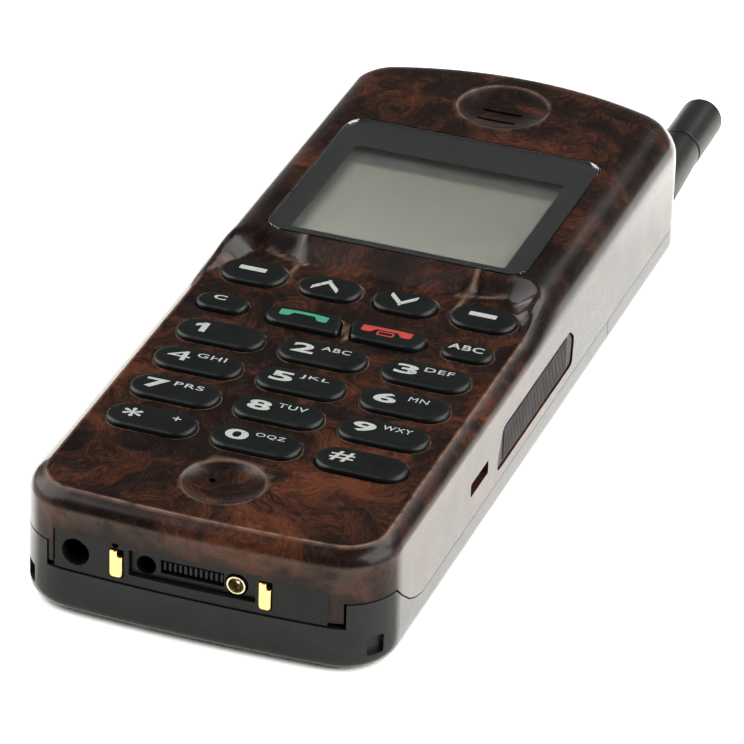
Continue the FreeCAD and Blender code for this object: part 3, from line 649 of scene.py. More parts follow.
def side_cutters():
    cutters = []
    for x_side in (-1, 1):
        inner, outer = sorted((x_side * (HALF_WIDTH - GRIP_DEPTH - GAP), x_side * 33.0))
        recess = sheet_x("recess", grown(GRIP_LINE, GAP), inner, outer)
        cutters.append(round_edges(recess, along("X"), 0.9, 3))
        slot_x = sorted((x_side * 20.0, x_side * 40.0))
        cutters.append(rounded_block("catch", *slot_x, *CATCH_Y, *CATCH_Z, 0.35, axis="X", segments=3))
    return cutters


carve(cover, side_cutters())
ANTENNA_X, ANTENNA_Z = 23.6, 9.9
carve(cover, [drum("antenna_hole", (ANTENNA_X, 75, ANTENNA_Z), 3.05, 30, axis="Y")])
smooth(cover, 34)
finish(cover, "handset", "burl_cover", ["front_cover"])


# %% [markdown]
# Years in pockets have rubbed the lacquer along the fine edges: the rim of the keypad face, the
# folds of the slope, the rims of the two hollows and the edges of the key holes. These edges also
# catch thin lines of light, so their pale lines are partly real wear and partly painted highlight;
# on the folds, the hollows' rims and the key holes' rims the pale is mostly painted highlight.
# The mark is written on the cover's points as a value from 0 to 1, because the finish can then
# follow these exact lines.

# %% Mark where the cover is worn and where highlights are painted
FOLDS = (((14.0, 7.0), (13.0, -3.5)), ((12.2, 2.7), (18.2, 4.6)), ((15.5, 3.4), (19.0, 4.9)))
# The pale line on the keypad face's rim is partly real wear and partly painted highlight.
RIM_INSET, RIM_LINE = BEVEL[-1][0], 0.22   # the keypad face's rim, and how wide its worn line is
FOLD_LINE = 0.45
HOLLOW_LINE = 0.35
PALE_LINE_FADE = (-9.0, -3.0)                    # the rim's line fades out between these y positions


def inset_at(x, y):
    """Distance inwards from the body's outline."""
    side = 1 if y > 0 else -1
    end_radius, corner = END_SHAPES[side]
    centre_y = side * (HALF_LENGTH - end_radius)
    corner_x = HALF_WIDTH - corner
    corner_y = centre_y + side * math.sqrt((end_radius - corner) ** 2 - corner_x ** 2)
    angle = math.atan2(abs(x), side * (y - centre_y))
    touch = math.asin(corner_x / (end_radius - corner))
    if abs(x) > corner_x and side * (y - corner_y) > 0 and angle > touch:
        return corner - math.hypot(abs(x) - corner_x, y - corner_y)
    return min(HALF_WIDTH - abs(x), end_radius - math.hypot(x, y - centre_y))


def beyond_key(x, y):
    """Distance outwards from the nearest key's outline."""
    gaps = []
    for key_x, key_y, (length, width) in KEYS.values():
        past = max(abs(x - key_x) - (length - width) / 2, 0.0)
        gaps.append(math.hypot(past, y - key_y) - width / 2)
    return min(gaps)


def distance_to(x, y, start, end):
    (ax, ay), (bx, by) = start, end
    t = ((x - ax) * (bx - ax) + (y - ay) * (by - ay)) / ((bx - ax) ** 2 + (by - ay) ** 2)
    t = min(max(t, 0.0), 1.0)
    return math.hypot(x - ax - t * (bx - ax), y - ay - t * (by - ay))


def pale_line(distance, width, most=1.0):
    """Full on the line itself, nothing beyond its width."""
    return most * max(0.0, 1.0 - distance / width)


def wear_and_highlight_at(x, y, z, facing_up):
    # Painted highlight: a pale line on the rims of the key holes, where their small flare catches the light.
    if z > FACE - 0.5 and y < 1.0 and beyond_key(x, y) < KEY_CLEARANCE + 0.06:
        return 0.9
    low_down = 1 - soft_step(*PALE_LINE_FADE, y)
    if z > FACE - 0.6 and facing_up:
        values = [pale_line(abs(inset_at(x, y) - RIM_INSET), RIM_LINE, low_down)]
        values += [pale_line(distance_to(abs(x), y, *line), FOLD_LINE, 0.8) for line in FOLDS]
        # Painted highlight: a pale ring just inside the rim of each hollow.
        for ring_x, ring_y, radius in (EAR[:3], MOUTH[:3]):
            inside = radius - 0.25 - math.hypot(x - ring_x, y - ring_y)
            values.append(pale_line(abs(inside), HOLLOW_LINE, 0.7))
        return max(values)
    # A fainter pale line along the keypad's outer edge, partly wear and partly painted highlight.
    on_shoulder = 17.0 < z < 17.5 and inset_at(x, y) < 0.05
    return 0.35 * low_down if on_shoulder else 0.0


# The pale lines of wear and painted highlight are stored as a point value from 0 to 1.
wear_and_highlight = cover.data.attributes.new("wear_and_highlight", "FLOAT", "POINT")
for vertex, mark in zip(cover.data.vertices, wear_and_highlight.data):
    mark.value = wear_and_highlight_at(*(vertex.co / MM), vertex.normal.z > 0.3)
print("worn points:", sum(1 for mark in wear_and_highlight.data if mark.value > 0.1))


# %% [markdown]
# The keys are satin caps with a soft pillow top. One blank is modelled for each size: the top
# face of a bar is inset and raised a few times, each time less, so the edge rolls over into
# a nearly flat crown. The other keys of that size are copies with their own mesh. A thin
# flange under the cover keeps each key from falling out.

# %% Key caps
CROWN = ((0.05, 0.24), (0.12, 0.15), (0.22, 0.1), (0.35, 0.055), (0.45, 0.03), (0.5, 0.015), (0.5, 0.01))
KEY_FLANGE_Z = (17.2, 18.1)


def make_key(name):
    crown = CROWN[:4] if name in ("call_key", "end_key") else CROWN
    cap = key_bar(name, KEY_FLANGE_Z[0], KEY_TOP - sum(rise for inset, rise in crown))
    edit(cap, "FACE", lambda centre, normal: normal.z > 0.9)
    for inset, rise in crown:
        bpy.ops.mesh.inset(thickness=inset * MM, depth=rise * MM)
    done()
    flange = key_bar(name, *KEY_FLANGE_Z, 0.6)
    if name in ("call_key", "end_key"):
        stop = block("stop", *((0.15, 5) if name == "call_key" else (-5, 0.45)), -20, -8, 10, 30)
        carve(flange, [stop])
    return carve(cap, [flange], "UNION")


def copy_of(piece, name, shift):
    """A copy with its own mesh, moved by shift."""
    take(piece)
    bpy.ops.object.duplicate()
    twin = bpy.context.object
    twin.location = Vector(shift) * MM
    return place(twin, name)


caps = {}
for name, (x, y, size) in KEYS.items():
    twin = next((other for other in caps if KEYS[other][2] == size != CALL), None)
    if twin:
        caps[name] = copy_of(caps[twin], name + "_top", (x - KEYS[twin][0], y - KEYS[twin][1], 0))
    else:
        caps[name] = make_key(name)
        caps[name].name = name + "_top"
for name, cap in caps.items():
    smooth(cap, 40)
    finish(cap, name + "_cap", "key_plastic", [name])


# %% [markdown]
# The legends are printed on the caps: bold wide figures, small letter groups at their upper
# right, bars on the two soft keys, arrows, and a handset lifted and hung up. Text is made
# with the built-in font, turned into a mesh, stretched to the wide shape of the print, and
# wrapped down onto the crown of its key. The other signs start as a small plane or grid.

# %% Printed figures and letters
PRINT_START_Z = 23      # prints begin flat at this height, above every key
PRINT_LIFT = 0.015
PRINT_STRIP = 0.6
FIGURES = {
    "key_one": ("1", ""), "key_two": ("2", "ABC"), "key_three": ("3", "DEF"), "key_four": ("4", "GHI"),
    "key_five": ("5", "JKL"), "key_six": ("6", "MN"), "key_seven": ("7", "PRS"), "key_eight": ("8", "TUV"),
    "key_nine": ("9", "WXY"), "key_star": ("*", "+"), "key_zero": ("0", "OQZ"), "key_hash": ("#", ""),
}


def fit_into(piece, x, y, width, height):
    """Scales a flat mesh to a width and height and centres it at x, y above the keys."""
    corners = [piece.matrix_world @ Vector(c) for c in piece.bound_box]
    low = Vector([min(c[i] for c in corners) for i in range(3)])
    high = Vector([max(c[i] for c in corners) for i in range(3)])
    piece.scale = (width * MM / (high.x - low.x), height * MM / (high.y - low.y), 1)
    bpy.context.view_layer.update()
    middle = (low + high) / 2
    piece.location = (x * MM - middle.x * piece.scale.x, y * MM - middle.y * piece.scale.y,
                      PRINT_START_Z * MM)
    return place(piece, piece.name)


def lettering(text, x, y, width, height, bold=0.0):
    bpy.ops.object.select_all(action="DESELECT")
    bpy.ops.object.text_add()
    piece = bpy.context.object
    piece.data.body = text
    piece.data.offset = bold
    piece.data.resolution_u = 5
    piece.data.space_character = 1.12
    bpy.ops.object.convert(target="MESH")
    return fit_into(bpy.context.object, x, y, width, height)


def lay_on(piece, cap):
    """Drops a flat print onto a cap and leaves it a hair above the surface.

    The print is first cut into small strips, so that it can follow the crown."""
    edit(piece, "FACE", lambda centre, normal: normal.z < 0)
    bpy.ops.mesh.flip_normals()
    done()
    for axis in (0, 1):
        values = [vertex.co[axis] / MM for vertex in piece.data.vertices]
        for k in range(1, int((max(values) - min(values)) / PRINT_STRIP) + 1):
            point, direction = [0, 0, 0], [0, 0, 0]
            point[axis] = (min(values) + k * PRINT_STRIP + 0.003) * MM
            direction[axis] = 1
            edit(piece, "FACE", lambda centre, normal: True)
            bpy.ops.mesh.bisect(plane_co=point, plane_no=direction)
            done()
    apply(piece, "SHRINKWRAP", target=cap, wrap_method="PROJECT", use_project_z=True,
          use_negative_direction=True, use_positive_direction=False)
    edit(piece, "FACE", lambda centre, normal: True)
    bpy.ops.transform.translate(value=(0, 0, PRINT_LIFT * MM))
    done()
    return piece


def flat_bar(x, y, length, width, radius):
    """A flat bar with rounded corners, above the keys."""
    bpy.ops.object.select_all(action="DESELECT")
    bpy.ops.mesh.primitive_plane_add(size=1)
    piece = bpy.context.object
    piece.scale = (length * MM, width * MM, 1)
    piece.location = (x * MM, y * MM, PRINT_START_Z * MM)
    place(piece, "bar")
    edit(piece, "VERT", lambda co: True)
    bpy.ops.mesh.bevel(offset=radius * MM, segments=4, affect="VERTICES")
    done()
    return piece


def figure_one(x, y):
    """The built-in font's one is a plain stroke, so it is drawn from two bars."""
    stem = flat_bar(x + 0.35, y, 0.95, 2.75, 0.08)
    flag = flat_bar(x - 0.35, y + 0.85, 1.5, 0.7, 0.08)
    for vertex in flag.data.vertices:
        vertex.co.y += (vertex.co.x / MM - x) * 0.45 * MM
    return join([flag, stem], "one")


BOLD = {"*": 0.012, "#": 0.012, "4": 0.0}   # how far a stroke grows; some figures allow less
FIGURE_SHIFT = (-3.1, 0.25)
prints = {}
for name, (figure, letters) in FIGURES.items():
    x, y, size = KEYS[name]
    width = {"*": 2.9, "#": 3.6}.get(figure, 3.5)
    height = {"*": 2.5}.get(figure, 2.75)
    spot = (x + FIGURE_SHIFT[0], y + FIGURE_SHIFT[1])
    if figure == "1":
        parts = [figure_one(*spot)]
    else:
        parts = [lettering(figure, *spot, width, height, BOLD.get(figure, 0.03))]
    if letters == "+":
        parts.append(lettering(letters, x + 3.5, y + 0.9, 1.3, 1.2, 0.01))
    elif letters:
        bold = 0.0 if "M" in letters else 0.008
        parts.append(lettering(letters, x + 1.7, y + 1.25, 1.5 * len(letters), 1.25, bold))
    prints[name] = join(parts, name + "_print")
prints["clear_key"] = lettering("C", -20.0, -12.75, 2.0, 1.4, 0.03)
prints["letters_key"] = lettering("ABC", 19.1, -12.9, 5.4, 1.6, 0.02)


# %% Printed bars, arrows and handset signs
def arrow(x, y, upwards):
    """Two bars that meet in a point."""
    arms = []
    for side in (-1, 1):
        arm = flat_bar(x, y, 2.3, 1.1, 0.12)
        edit(arm, "VERT", lambda co: True)
        bpy.ops.transform.translate(value=(side * 0.95 * MM, 0, 0))
        done()
        for vertex in arm.data.vertices:
            offset = (vertex.co.x / MM - x) * side
            vertex.co.y += upwards * (1.0 - offset * 1.12) * MM
        arms.append(arm)
    return join(arms, "arrow")


def handset(name, x, y, length, bow):
    """A handset seen from the side: two thick ends and a thin bowed grip, bent from a grid."""
    bpy.ops.object.select_all(action="DESELECT")
    bpy.ops.mesh.primitive_grid_add(x_subdivisions=28, y_subdivisions=4, size=1)
    piece = bpy.context.object
    for vertex in piece.data.vertices:
        u, v = vertex.co.x * 2, vertex.co.y + 0.5
        end = soft_step(0.42, 0.62, abs(u)) * (1 - 0.35 * soft_step(0.9, 1.0, abs(u)))
        upper = 0.62 + bow * (1 - u * u)
        depth = 0.72 + 0.98 * end
        vertex.co = Vector((x + u * length / 2, y + upper - depth * (1 - v), PRINT_START_Z)) * MM
    return place(piece, name)


prints["soft_key_left"] = flat_bar(-18.7, -2.6, 4.3, 1.15, 0.2)
prints["soft_key_right"] = flat_bar(18.1, -2.6, 4.3, 1.15, 0.2)
prints["up_key"] = arrow(-6.6, -3.0, 1)
prints["down_key"] = arrow(5.4, -3.0, -1)
prints["call_key"] = handset("call", -6.5, -13.0, 7.6, 0.3)
cradle = flat_bar(6.6, -13.65, 2.7, 1.25, 0.35)
edit(cradle, "FACE", lambda centre, normal: True)
bpy.ops.mesh.inset(thickness=0.28 * MM)
bpy.ops.mesh.delete(type="FACE")
done()
prints["end_key"] = join([handset("end", 6.6, -12.75, 7.9, 0.12), cradle], "end")

for name, print_piece in prints.items():
    print_piece.name = name + "_print"
    lay_on(print_piece, caps[name])
    coating = {"call_key": "print_green", "end_key": "print_red"}.get(name, "print_white")
    finish(print_piece, name + "_cap", "key_plastic", coating=coating)


# %% [markdown]
# The display sits under a clear pane whose border is printed black from behind. The pane is a
# real slab with a fine polished bevel. The black border is its own thin frame just under it,
# so the grey display shows through the opening, a little deeper, with the frame's shadow on it;
# the display's finish deepens that shadow with painted shade along its top and left edges.

# %% Window pane and its black border
x0, x1, y0, y1 = WINDOW
PANE_BACK = HEAD - LENS_THICK + 0.14
BORDER_Z = (21.62, 21.71)
pane = rounded_block("window_pane", x0, x1, y0, y1, PANE_BACK, HEAD, PANE_CORNER, segments=10)
round_edges(pane, lambda a, b: a.z > HEAD - 0.01 and b.z > HEAD - 0.01, 0.14, 3)
smooth(pane, 30)
finish(pane, "handset", "window_lens", ["display_window"])

frame_box = (x0 + 0.05, x1 - 0.05, y0 + 0.05, y1 - 0.05, *BORDER_Z)
border = rounded_block("window_border", *frame_box, PANE_CORNER - 0.05, segments=10)
carve(border, [rounded_block("opening", *SCREEN, 20, 23, 0.5, segments=4)])
smooth(border, 30)
finish(border, "handset", "connector_black", coating="border_print")


# %% [markdown]
# The connector end is a row of small parts in one black plate: a round jack for the charger,
# two gilded blades, and a shallow socket with a guide hole, twelve contacts and a coaxial
# ring. The plate follows the body's outline, so it starts as an outline solid that is trimmed
# by cutting planes. A very small bevel on every sharp edge is what makes moulded plastic look
# moulded, because real edges always catch a line of light.

# %% Connector plate
def trim(piece, point, direction):
    """Cuts a closed piece by a plane, drops what lies on the side of the direction, and closes it."""
    edit(piece, "FACE", lambda centre, normal: True)
    bpy.ops.mesh.bisect(plane_co=[c * MM for c in point], plane_no=direction, use_fill=True, clear_outer=True)
    done()
    return piece


def soften(piece, width=0.12, segments=2, degrees=35):
    """Small bevel on all sharp edges."""
    return apply(piece, "BEVEL", width=width * MM, segments=segments, limit_method="ANGLE",
                 angle_limit=math.radians(degrees), harden_normals=False, use_clamp_overlap=True)


JACK = (-18.1, 10.8)
COAX = (6.3, 11.1)
SOCKET_X, SOCKET_Z = (-9.8, 9.4), (9.2, 13.3)
CONTACT_X, CONTACT_Z = ((-12.6, -10.7), (10.0, 11.8)), (8.6, 12.9)
PLATE_BACK = -71.2

plate = outline_solid("connector_plate_face", [(0.2, 7.65), (0.2, 13.85)])
trim(plate, (0, PLATE_BACK, 0), (0, 1, 0))
trim(plate, (PLATE_X[0], 0, 0), (-1, 0, 0))
trim(plate, (PLATE_X[1], 0, 0), (1, 0, 0))
cuts = [drum("jack_hole", (JACK[0], -70, JACK[1]), 2.15, 20, axis="Y"),
        block("socket", *SOCKET_X, -80, -60, *SOCKET_Z),
        block("step", 10.4, 30, -80, -60, 13.2, 20)]
for low_x, high_x in CONTACT_X:
    cuts.append(block("slit", low_x - 0.1, high_x + 0.1, -80, -60, CONTACT_Z[0] - 0.1, CONTACT_Z[1] + 0.1))
carve(plate, cuts)
carve(plate, [drum("key_notch", (-11.9, -70, 13.6), 0.5, 20, axis="Y", sides=24)])
soften(plate, 0.13)
smooth(plate, 32)
finish(plate, "handset", "connector_black", ["connector_plate"])

# %% Socket with its contacts
socket = block("system_socket", SOCKET_X[0] + 0.1, SOCKET_X[1] - 0.1, -72.9, -63.8,
               SOCKET_Z[0] + 0.1, SOCKET_Z[1] - 0.1)
soften(socket, 0.12)
carve(socket, [drum("guide", (-7.4, -73, 11.0), 1.5, 9, axis="Y"),
               block("teeth_space", -5.2, 4.4, -80, -71.6, 10.2, 12.4),
               drum("coax_space", (COAX[0], -73, COAX[1]), 1.75, 6.2, axis="Y")])
smooth(socket, 32)
finish(socket, "handset", "connector_black", ["system_connector"])

tooth = block("tooth", -4.9, -4.5, -72.6, -71.4, 10.6, 12.0)
soften(tooth, 0.09, 2)
teeth = [copy_of(tooth, "tooth", (k * 8.6 / 11, 0, 0)) for k in range(1, 12)]
contacts = join([tooth] + teeth, "socket_contacts")
smooth(contacts, 32)
finish(contacts, "handset", "gold_contact", ["connector_pins"], coating="tooth_grey")

coax = drum("coax_ring", (COAX[0], -71.6, COAX[1]), 1.45, 3.4, axis="Y")
edit(coax, "FACE", lambda centre, normal: normal.y < -0.9)
bpy.ops.mesh.inset(thickness=0.3 * MM)
bpy.ops.mesh.extrude_region_move(TRANSFORM_OT_translate={"value": (0, 2.4 * MM, 0)})
bpy.ops.mesh.inset(thickness=0.85 * MM)
bpy.ops.mesh.extrude_region_move(TRANSFORM_OT_translate={"value": (0, -1.5 * MM, 0)})
done()
soften(coax, 0.08)
smooth(coax, 32)
finish(coax, "handset", "coax_metal", ["coax_socket"])

# %% Gilded charging blades
blades = []
for low_x, high_x in CONTACT_X:
    blade = block("blade", low_x, high_x, -74.05, -69.0, *CONTACT_Z)
    round_edges(blade, lambda a, b: along("Y")(a, b) and a.z < CONTACT_Z[0] + 0.1, 0.55, 5)
    carve(blade, [block("clip", low_x + 1.1, high_x + 1, -80, -60, CONTACT_Z[1] - 0.9, 20)])
    blades.append(soften(blade, 0.16, 3))
blades = join(blades, "charge_blades")
smooth(blades, 32)
finish(blades, "handset", "gold_contact", ["charge_contacts"])


# %% [markdown]
# The battery pack is most of the phone's back. Its lower edge is rounded by a quarter circle
# of rings, its middle is a little higher, and at the connector end two raised corners reach
# up beside the connectors. It is built as three outline solids that are joined, then emptied
# for its cells, and its nail notches are cut in the corners.

# %% Battery case
FOOT_ROUND = 2.5
BATTERY_TOP = 7.4
BATTERY_END = 29.5
BATTERY_HALF = 24.8
EAR_X = 22.7
QUARTER = [k * math.pi / 16 for k in range(9)]
FOOT_RINGS = [(FOOT_ROUND * (1 - math.sin(turn)), FOOT_ROUND * (1 - math.cos(turn))) for turn in QUARTER]
PACK_EDGE = [(-66.45, 11.4), (-64.42, 9.5), (-61.18, 7.05), (-58.45, 5.76), (-55.5, 5.0)]

case = outline_solid("battery_pack_case", FOOT_RINGS + [(0.0, 5.0)])
trim(case, (0, BATTERY_END, 0), (0, 1, 0))
middle = outline_solid("middle", [(0.0, 3.0), (0.0, BATTERY_TOP)])
trim(middle, (0, BATTERY_END, 0), (0, 1, 0))
trim(middle, (BATTERY_HALF, 0, 0), (1, 0, 0))
trim(middle, (-BATTERY_HALF, 0, 0), (-1, 0, 0))
ears = outline_solid("ears", [(0.0, 3.0), (0.0, 11.4)])
ear_profile = PACK_EDGE + [(-55.5, 2.0), (-80.0, 2.0), (-80.0, 11.4)]
carve(ears, [sheet_x("profile", ear_profile, -40, 40)], "INTERSECT")
carve(ears, [block("between", -EAR_X, EAR_X, -90, -50, BATTERY_TOP, 40)])
core = outline_solid("core", [(WALL, 4.0), (WALL, 40.0)])
trim(core, (0, EAR_SPACE_Y, 0), (0, -1, 0))
carve(ears, [core])
carve(case, [middle], "UNION")
carve(case, [ears], "UNION")
carve(case, [block("lid_space", -24.0, 24.0, -71.0, BATTERY_END - 1.2, BATTERY_TOP - 0.9, 20)])
carve(case, [rounded_block("cells_space", -23.4, 23.4, -70.0, BATTERY_END - 2.0, 1.0, 7.0, 3.0)])
nail_notches = []
for x_side in (-1, 1):
    notch = rounded_block("notch", -0.9, 2.0, -1.4, 1.4, 2.7, 5.7, 0.35, axis="X", segments=3)
    angle = math.radians(-37.5 if x_side > 0 else 217.5)
    notch.rotation_euler = (0, 0, angle)
    notch.location = (x_side * 26.24 * MM, -70.02 * MM, 0)
    place(notch, "notch")
    nail_notches.append(notch)
hook = block("hook", -1.9, 1.9, BATTERY_END - 0.7, BATTERY_END + 1, 1.2, 3.2)
carve(case, nail_notches + [hook])
soften(case, 0.2, 3, 40)
smooth(case, 32)
finish(case, "battery_pack", "battery_plastic", ["battery_case"])


# %% [markdown]
# The back shell of the phone keeps the engineering model's shape, because its wells, rails and
# recess are all seen when the pack is off. Its mesh can't be changed, so a copy is taken. The
# loose triangles of the copy are merged and turned back into flat faces, and then its edges
# get the same small bevel.

# %% Softened copy of the back shell
def softened_copy(node, name, width):
    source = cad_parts[node]
    piece = source.copy()
    piece.data = source.data.copy()
    piece.parent = None
    piece.matrix_world = source.matrix_world
    bpy.context.scene.collection.objects.link(piece)
    place(piece, name)
    piece.data.materials.clear()
    edit(piece, "FACE", lambda centre, normal: True)
    bpy.ops.mesh.remove_doubles(threshold=0.001 * MM)
    bpy.ops.mesh.customdata_custom_splitnormals_clear()
    bpy.ops.mesh.dissolve_limited(angle_limit=math.radians(1.0))
    done()
    return soften(piece, width, 2, 40)


back = softened_copy("rear_housing", "back_shell", 0.12)
smooth(back, 32)
finish(back, "handset", "black_housing", ["rear_housing"])


# %% [markdown]
# The ribbed grips are thin plates let into the sides. One rib is modelled and copied along the
# plate at an even pitch, then all are joined to the plate as one solid.

# %% Side grips
RIB_PITCH = 0.7


def make_grip(x_side, name):
    face = x_side * (HALF_WIDTH - 0.28)
    base_x = x_side * (HALF_WIDTH - GRIP_DEPTH)
    plate_of_grip = sheet_x(name, GRIP_LINE, *sorted((base_x, face)))
    round_edges(plate_of_grip, lambda a, b: along("X")(a, b), 0.8, 4)
    rib_x = sorted((x_side * (HALF_WIDTH - 0.45), x_side * (HALF_WIDTH - 0.02)))
    first = block("rib", *rib_x, -20.3, -19.92, 7.45, 12.85)
    soften(first, 0.11, 2)
    count = int((11.0 + 20.3) / RIB_PITCH) - 2
    ribs = [first] + [copy_of(first, "rib", (0, k * RIB_PITCH, 0)) for k in range(1, count)]
    soften(plate_of_grip, 0.1)
    carve(plate_of_grip, ribs, "UNION")
    return smooth(plate_of_grip, 32)


for x_side, side_name in ((1, "right"), (-1, "left")):
    grip = make_grip(x_side, "grip_" + side_name)
    finish(grip, "handset", "side_grip", ["side_grip_" + side_name])


# %% [markdown]
# The antenna's black cap is a cylinder with a well rounded tip, and it pulls out of a slightly
# tapered collar. The collar is cut along the body's outline, so it sits against the wall.

# %% Antenna cap and collar
CAP_RADIUS = 3.55
CAP_Y = (79.3, 92.5)
cap_middle = (ANTENNA_X, sum(CAP_Y) / 2, ANTENNA_Z)
cap = drum("antenna_grip", cap_middle, CAP_RADIUS, CAP_Y[1] - CAP_Y[0], axis="Y", sides=72)
round_edges(cap, lambda a, b: a.y > CAP_Y[1] - 0.01 and b.y > CAP_Y[1] - 0.01, 1.35, 8)
round_edges(cap, lambda a, b: a.y < CAP_Y[0] + 0.01 and b.y < CAP_Y[0] + 0.01, 0.25, 3)
edit(cap, "FACE", lambda centre, normal: normal.y < -0.9 and centre.y < CAP_Y[0] + 0.01)
bpy.ops.mesh.inset(thickness=(CAP_RADIUS - 0.25 - 1.0) * MM)
bpy.ops.mesh.extrude_region_move(TRANSFORM_OT_translate={"value": (0, 7.0 * MM, 0)})
done()
smooth(cap, 32)
finish(cap, "antenna", "antenna_plastic", ["antenna_cap"])

collar = drum("antenna_sleeve", (ANTENNA_X, 71.6, ANTENNA_Z), 4.1, 15.2, axis="Y", sides=72,
              end_radius=CAP_RADIUS - 0.1)
round_edges(collar, lambda a, b: a.y > 79.1 and b.y > 79.1, 0.3, 3)
carve(collar, [outline_solid("body", [(-0.02, 0.0), (-0.02, 22.0)])])
carve(collar, [drum("spigot", (ANTENNA_X, 67.75, ANTENNA_Z), 2.95, 8.5, axis="Y")], "UNION")
carve(collar, [drum("bore", (ANTENNA_X, 70, ANTENNA_Z), 1.05, 40, axis="Y", sides=32)])
smooth(collar, 32)
finish(collar, "handset", "antenna_plastic", ["antenna_collar"])


# %% Latch and screws
button = rounded_block("latch_button", -3.2, 3.2, BATTERY_END + 0.4, BATTERY_END + 5.2, 0.25, 1.4, 0.5)
carve(button, [block("stem", -1.6, 1.6, BATTERY_END - 0.5, BATTERY_END + 2.9, 1.3, 3.0)], "UNION")
rib_starts = [BATTERY_END + 1.4 + k * 1.2 for k in range(3)]
latch_ribs = [block("rib", -2.4, 2.4, y, y + 0.5, 0.1, 0.4) for y in rib_starts]
carve(button, latch_ribs, "UNION")
soften(button, 0.09)
smooth(button, 32)
finish(button, "latch", "black_housing", ["battery_latch"])

SCREW_SPOTS = ((-17.0, 61.0), (17.0, 61.0), (-21.0, -57.5), (21.0, -57.5))
screw = drum("screw", (*SCREW_SPOTS[0], 8.37), 1.85, 1.24, sides=40)
soften(screw, 0.15, 3)
carve(screw, [drum("shank", (*SCREW_SPOTS[0], 12.8), 0.95, 8.0, sides=24)], "UNION")
x, y = SCREW_SPOTS[0]
for size in ((1.2, 0.25), (0.25, 1.2)):
    carve(screw, [block("slot", x - size[0], x + size[0], y - size[1], y + size[1], 6.75, 8.35)])
screws = [screw] + [copy_of(screw, "screw", (sx - x, sy - y, 0)) for sx, sy in SCREW_SPOTS[1:]]
screws = join(screws, "cross_head_screws")
smooth(screws, 32)
finish(screws, "handset", "screw_steel", ["housing_screws"])


# %% [markdown]
# The finishes are built from nodes on the object's own coordinates, so each pattern stays on
# its piece when the piece moves. A small helper adds a node and connects what it is given.
# The burl's figure and the marks of handling are node groups, built once and placed where
# they are needed.

# %% Helpers for finishes
def feed(tree, node, values):
    """Links a socket's value, or sets it where it is a plain number or colour."""
    for name, value in values.items():
        if isinstance(value, bpy.types.NodeSocket):
            tree.links.new(value, node.inputs[name])
        else:
            node.inputs[name].default_value = value


def add_node(tree, kind, values=None, **settings):
    node = tree.nodes.new(kind)
    for key, value in settings.items():
        setattr(node, key, value)
    feed(tree, node, values or {})
    return node


def maths(tree, operation, a, b=0.0):
    return add_node(tree, "ShaderNodeMath", {0: a, 1: b}, operation=operation).outputs[0]


def vector_maths(tree, operation, a, b=(0, 0, 0), scale=None):
    values = {0: a, 1: b}
    if scale is not None:
        values = {0: a, "Scale": scale}
    return add_node(tree, "ShaderNodeVectorMath", values, operation=operation).outputs[0]


def noise(tree, vector, scale, detail=3.0, roughness=0.5, distortion=0.0, output="Fac"):
    values = {"Vector": vector, "Scale": scale, "Detail": detail, "Roughness": roughness,
              "Distortion": distortion}
    return add_node(tree, "ShaderNodeTexNoise", values).outputs[output]


def spread(tree, value, low, high, to_low=0.0, to_high=1.0):
    """Maps low..high onto to_low..to_high and clamps."""
    values = {"Value": value, "From Min": low, "From Max": high, "To Min": to_low, "To Max": to_high}
    return add_node(tree, "ShaderNodeMapRange", values).outputs["Result"]


def ramp(tree, factor, stops):
    node = add_node(tree, "ShaderNodeValToRGB", {"Fac": factor})
    elements = node.color_ramp.elements
    while len(elements) < len(stops):
        elements.new(0.5)
    for element, (position, colour) in zip(elements, stops):
        element.position = position
        element.color = (*colour, 1)
    return node.outputs["Color"]


def mix_colour(tree, factor, a, b):
    """The colour sockets of a Mix node are its inputs 6 and 7 and its output 2."""
    a, b = (value if isinstance(value, bpy.types.NodeSocket) else (*value, 1) for value in (a, b))
    return add_node(tree, "ShaderNodeMix", {0: factor, 6: a, 7: b}, data_type="RGBA").outputs[2]


def new_group(name, inputs, outputs):
    """A node group with named sockets. Each entry is (name, kind, default)."""
    tree = bpy.data.node_groups.new(name, "ShaderNodeTree")
    for label, kind, default in inputs:
        socket = tree.interface.new_socket(label, in_out="INPUT", socket_type="NodeSocket" + kind)
        if default is not None:
            socket.default_value = default
    for label, kind in outputs:
        tree.interface.new_socket(label, in_out="OUTPUT", socket_type="NodeSocket" + kind)
    return tree, tree.nodes.new("NodeGroupInput").outputs, tree.nodes.new("NodeGroupOutput").inputs


def place_group(tree, group, **values):
    return add_node(tree, "ShaderNodeGroup", values, node_tree=group).outputs


def new_finish(name):
    """A material with its shader, and the object's coordinates in millimetres."""
    material = bpy.data.materials.new(name)
    material.use_nodes = True
    tree = material.node_tree
    shader = tree.nodes["Principled BSDF"]
    place_of = tree.nodes.new("ShaderNodeTexCoord").outputs["Object"]
    return material, tree, shader, vector_maths(tree, "SCALE", place_of, scale=1000.0)


GLOSS_FROM_TO = (0.53, 0.7)   # 0 is a surface seen head on, 1 is one seen edge on


def glancing_gloss(tree, shader, low, high):
    """The clear coat counts little on a surface seen head on, and fully on one seen edge on."""
    facing = add_node(tree, "ShaderNodeLayerWeight", {"Blend": 0.5}).outputs["Facing"]
    tree.links.new(spread(tree, facing, *GLOSS_FROM_TO, low, high), shader.inputs["Coat Weight"])


def bump(tree, height, strength, distance):
    values = {"Height": height, "Strength": strength, "Distance": distance}
    return add_node(tree, "ShaderNodeBump", values).outputs[0]


# %% [markdown]
# Burl is the figure of a knotty outgrowth: the grain flows round the knots in tight swirls, so
# dark ground and red-brown flames curl into each other, with fine fibres across the flames.
# Pushing the coordinates about with one noise before they reach the next noise makes such
# swirls. The fibres are thin bands that follow the same pushed coordinates.

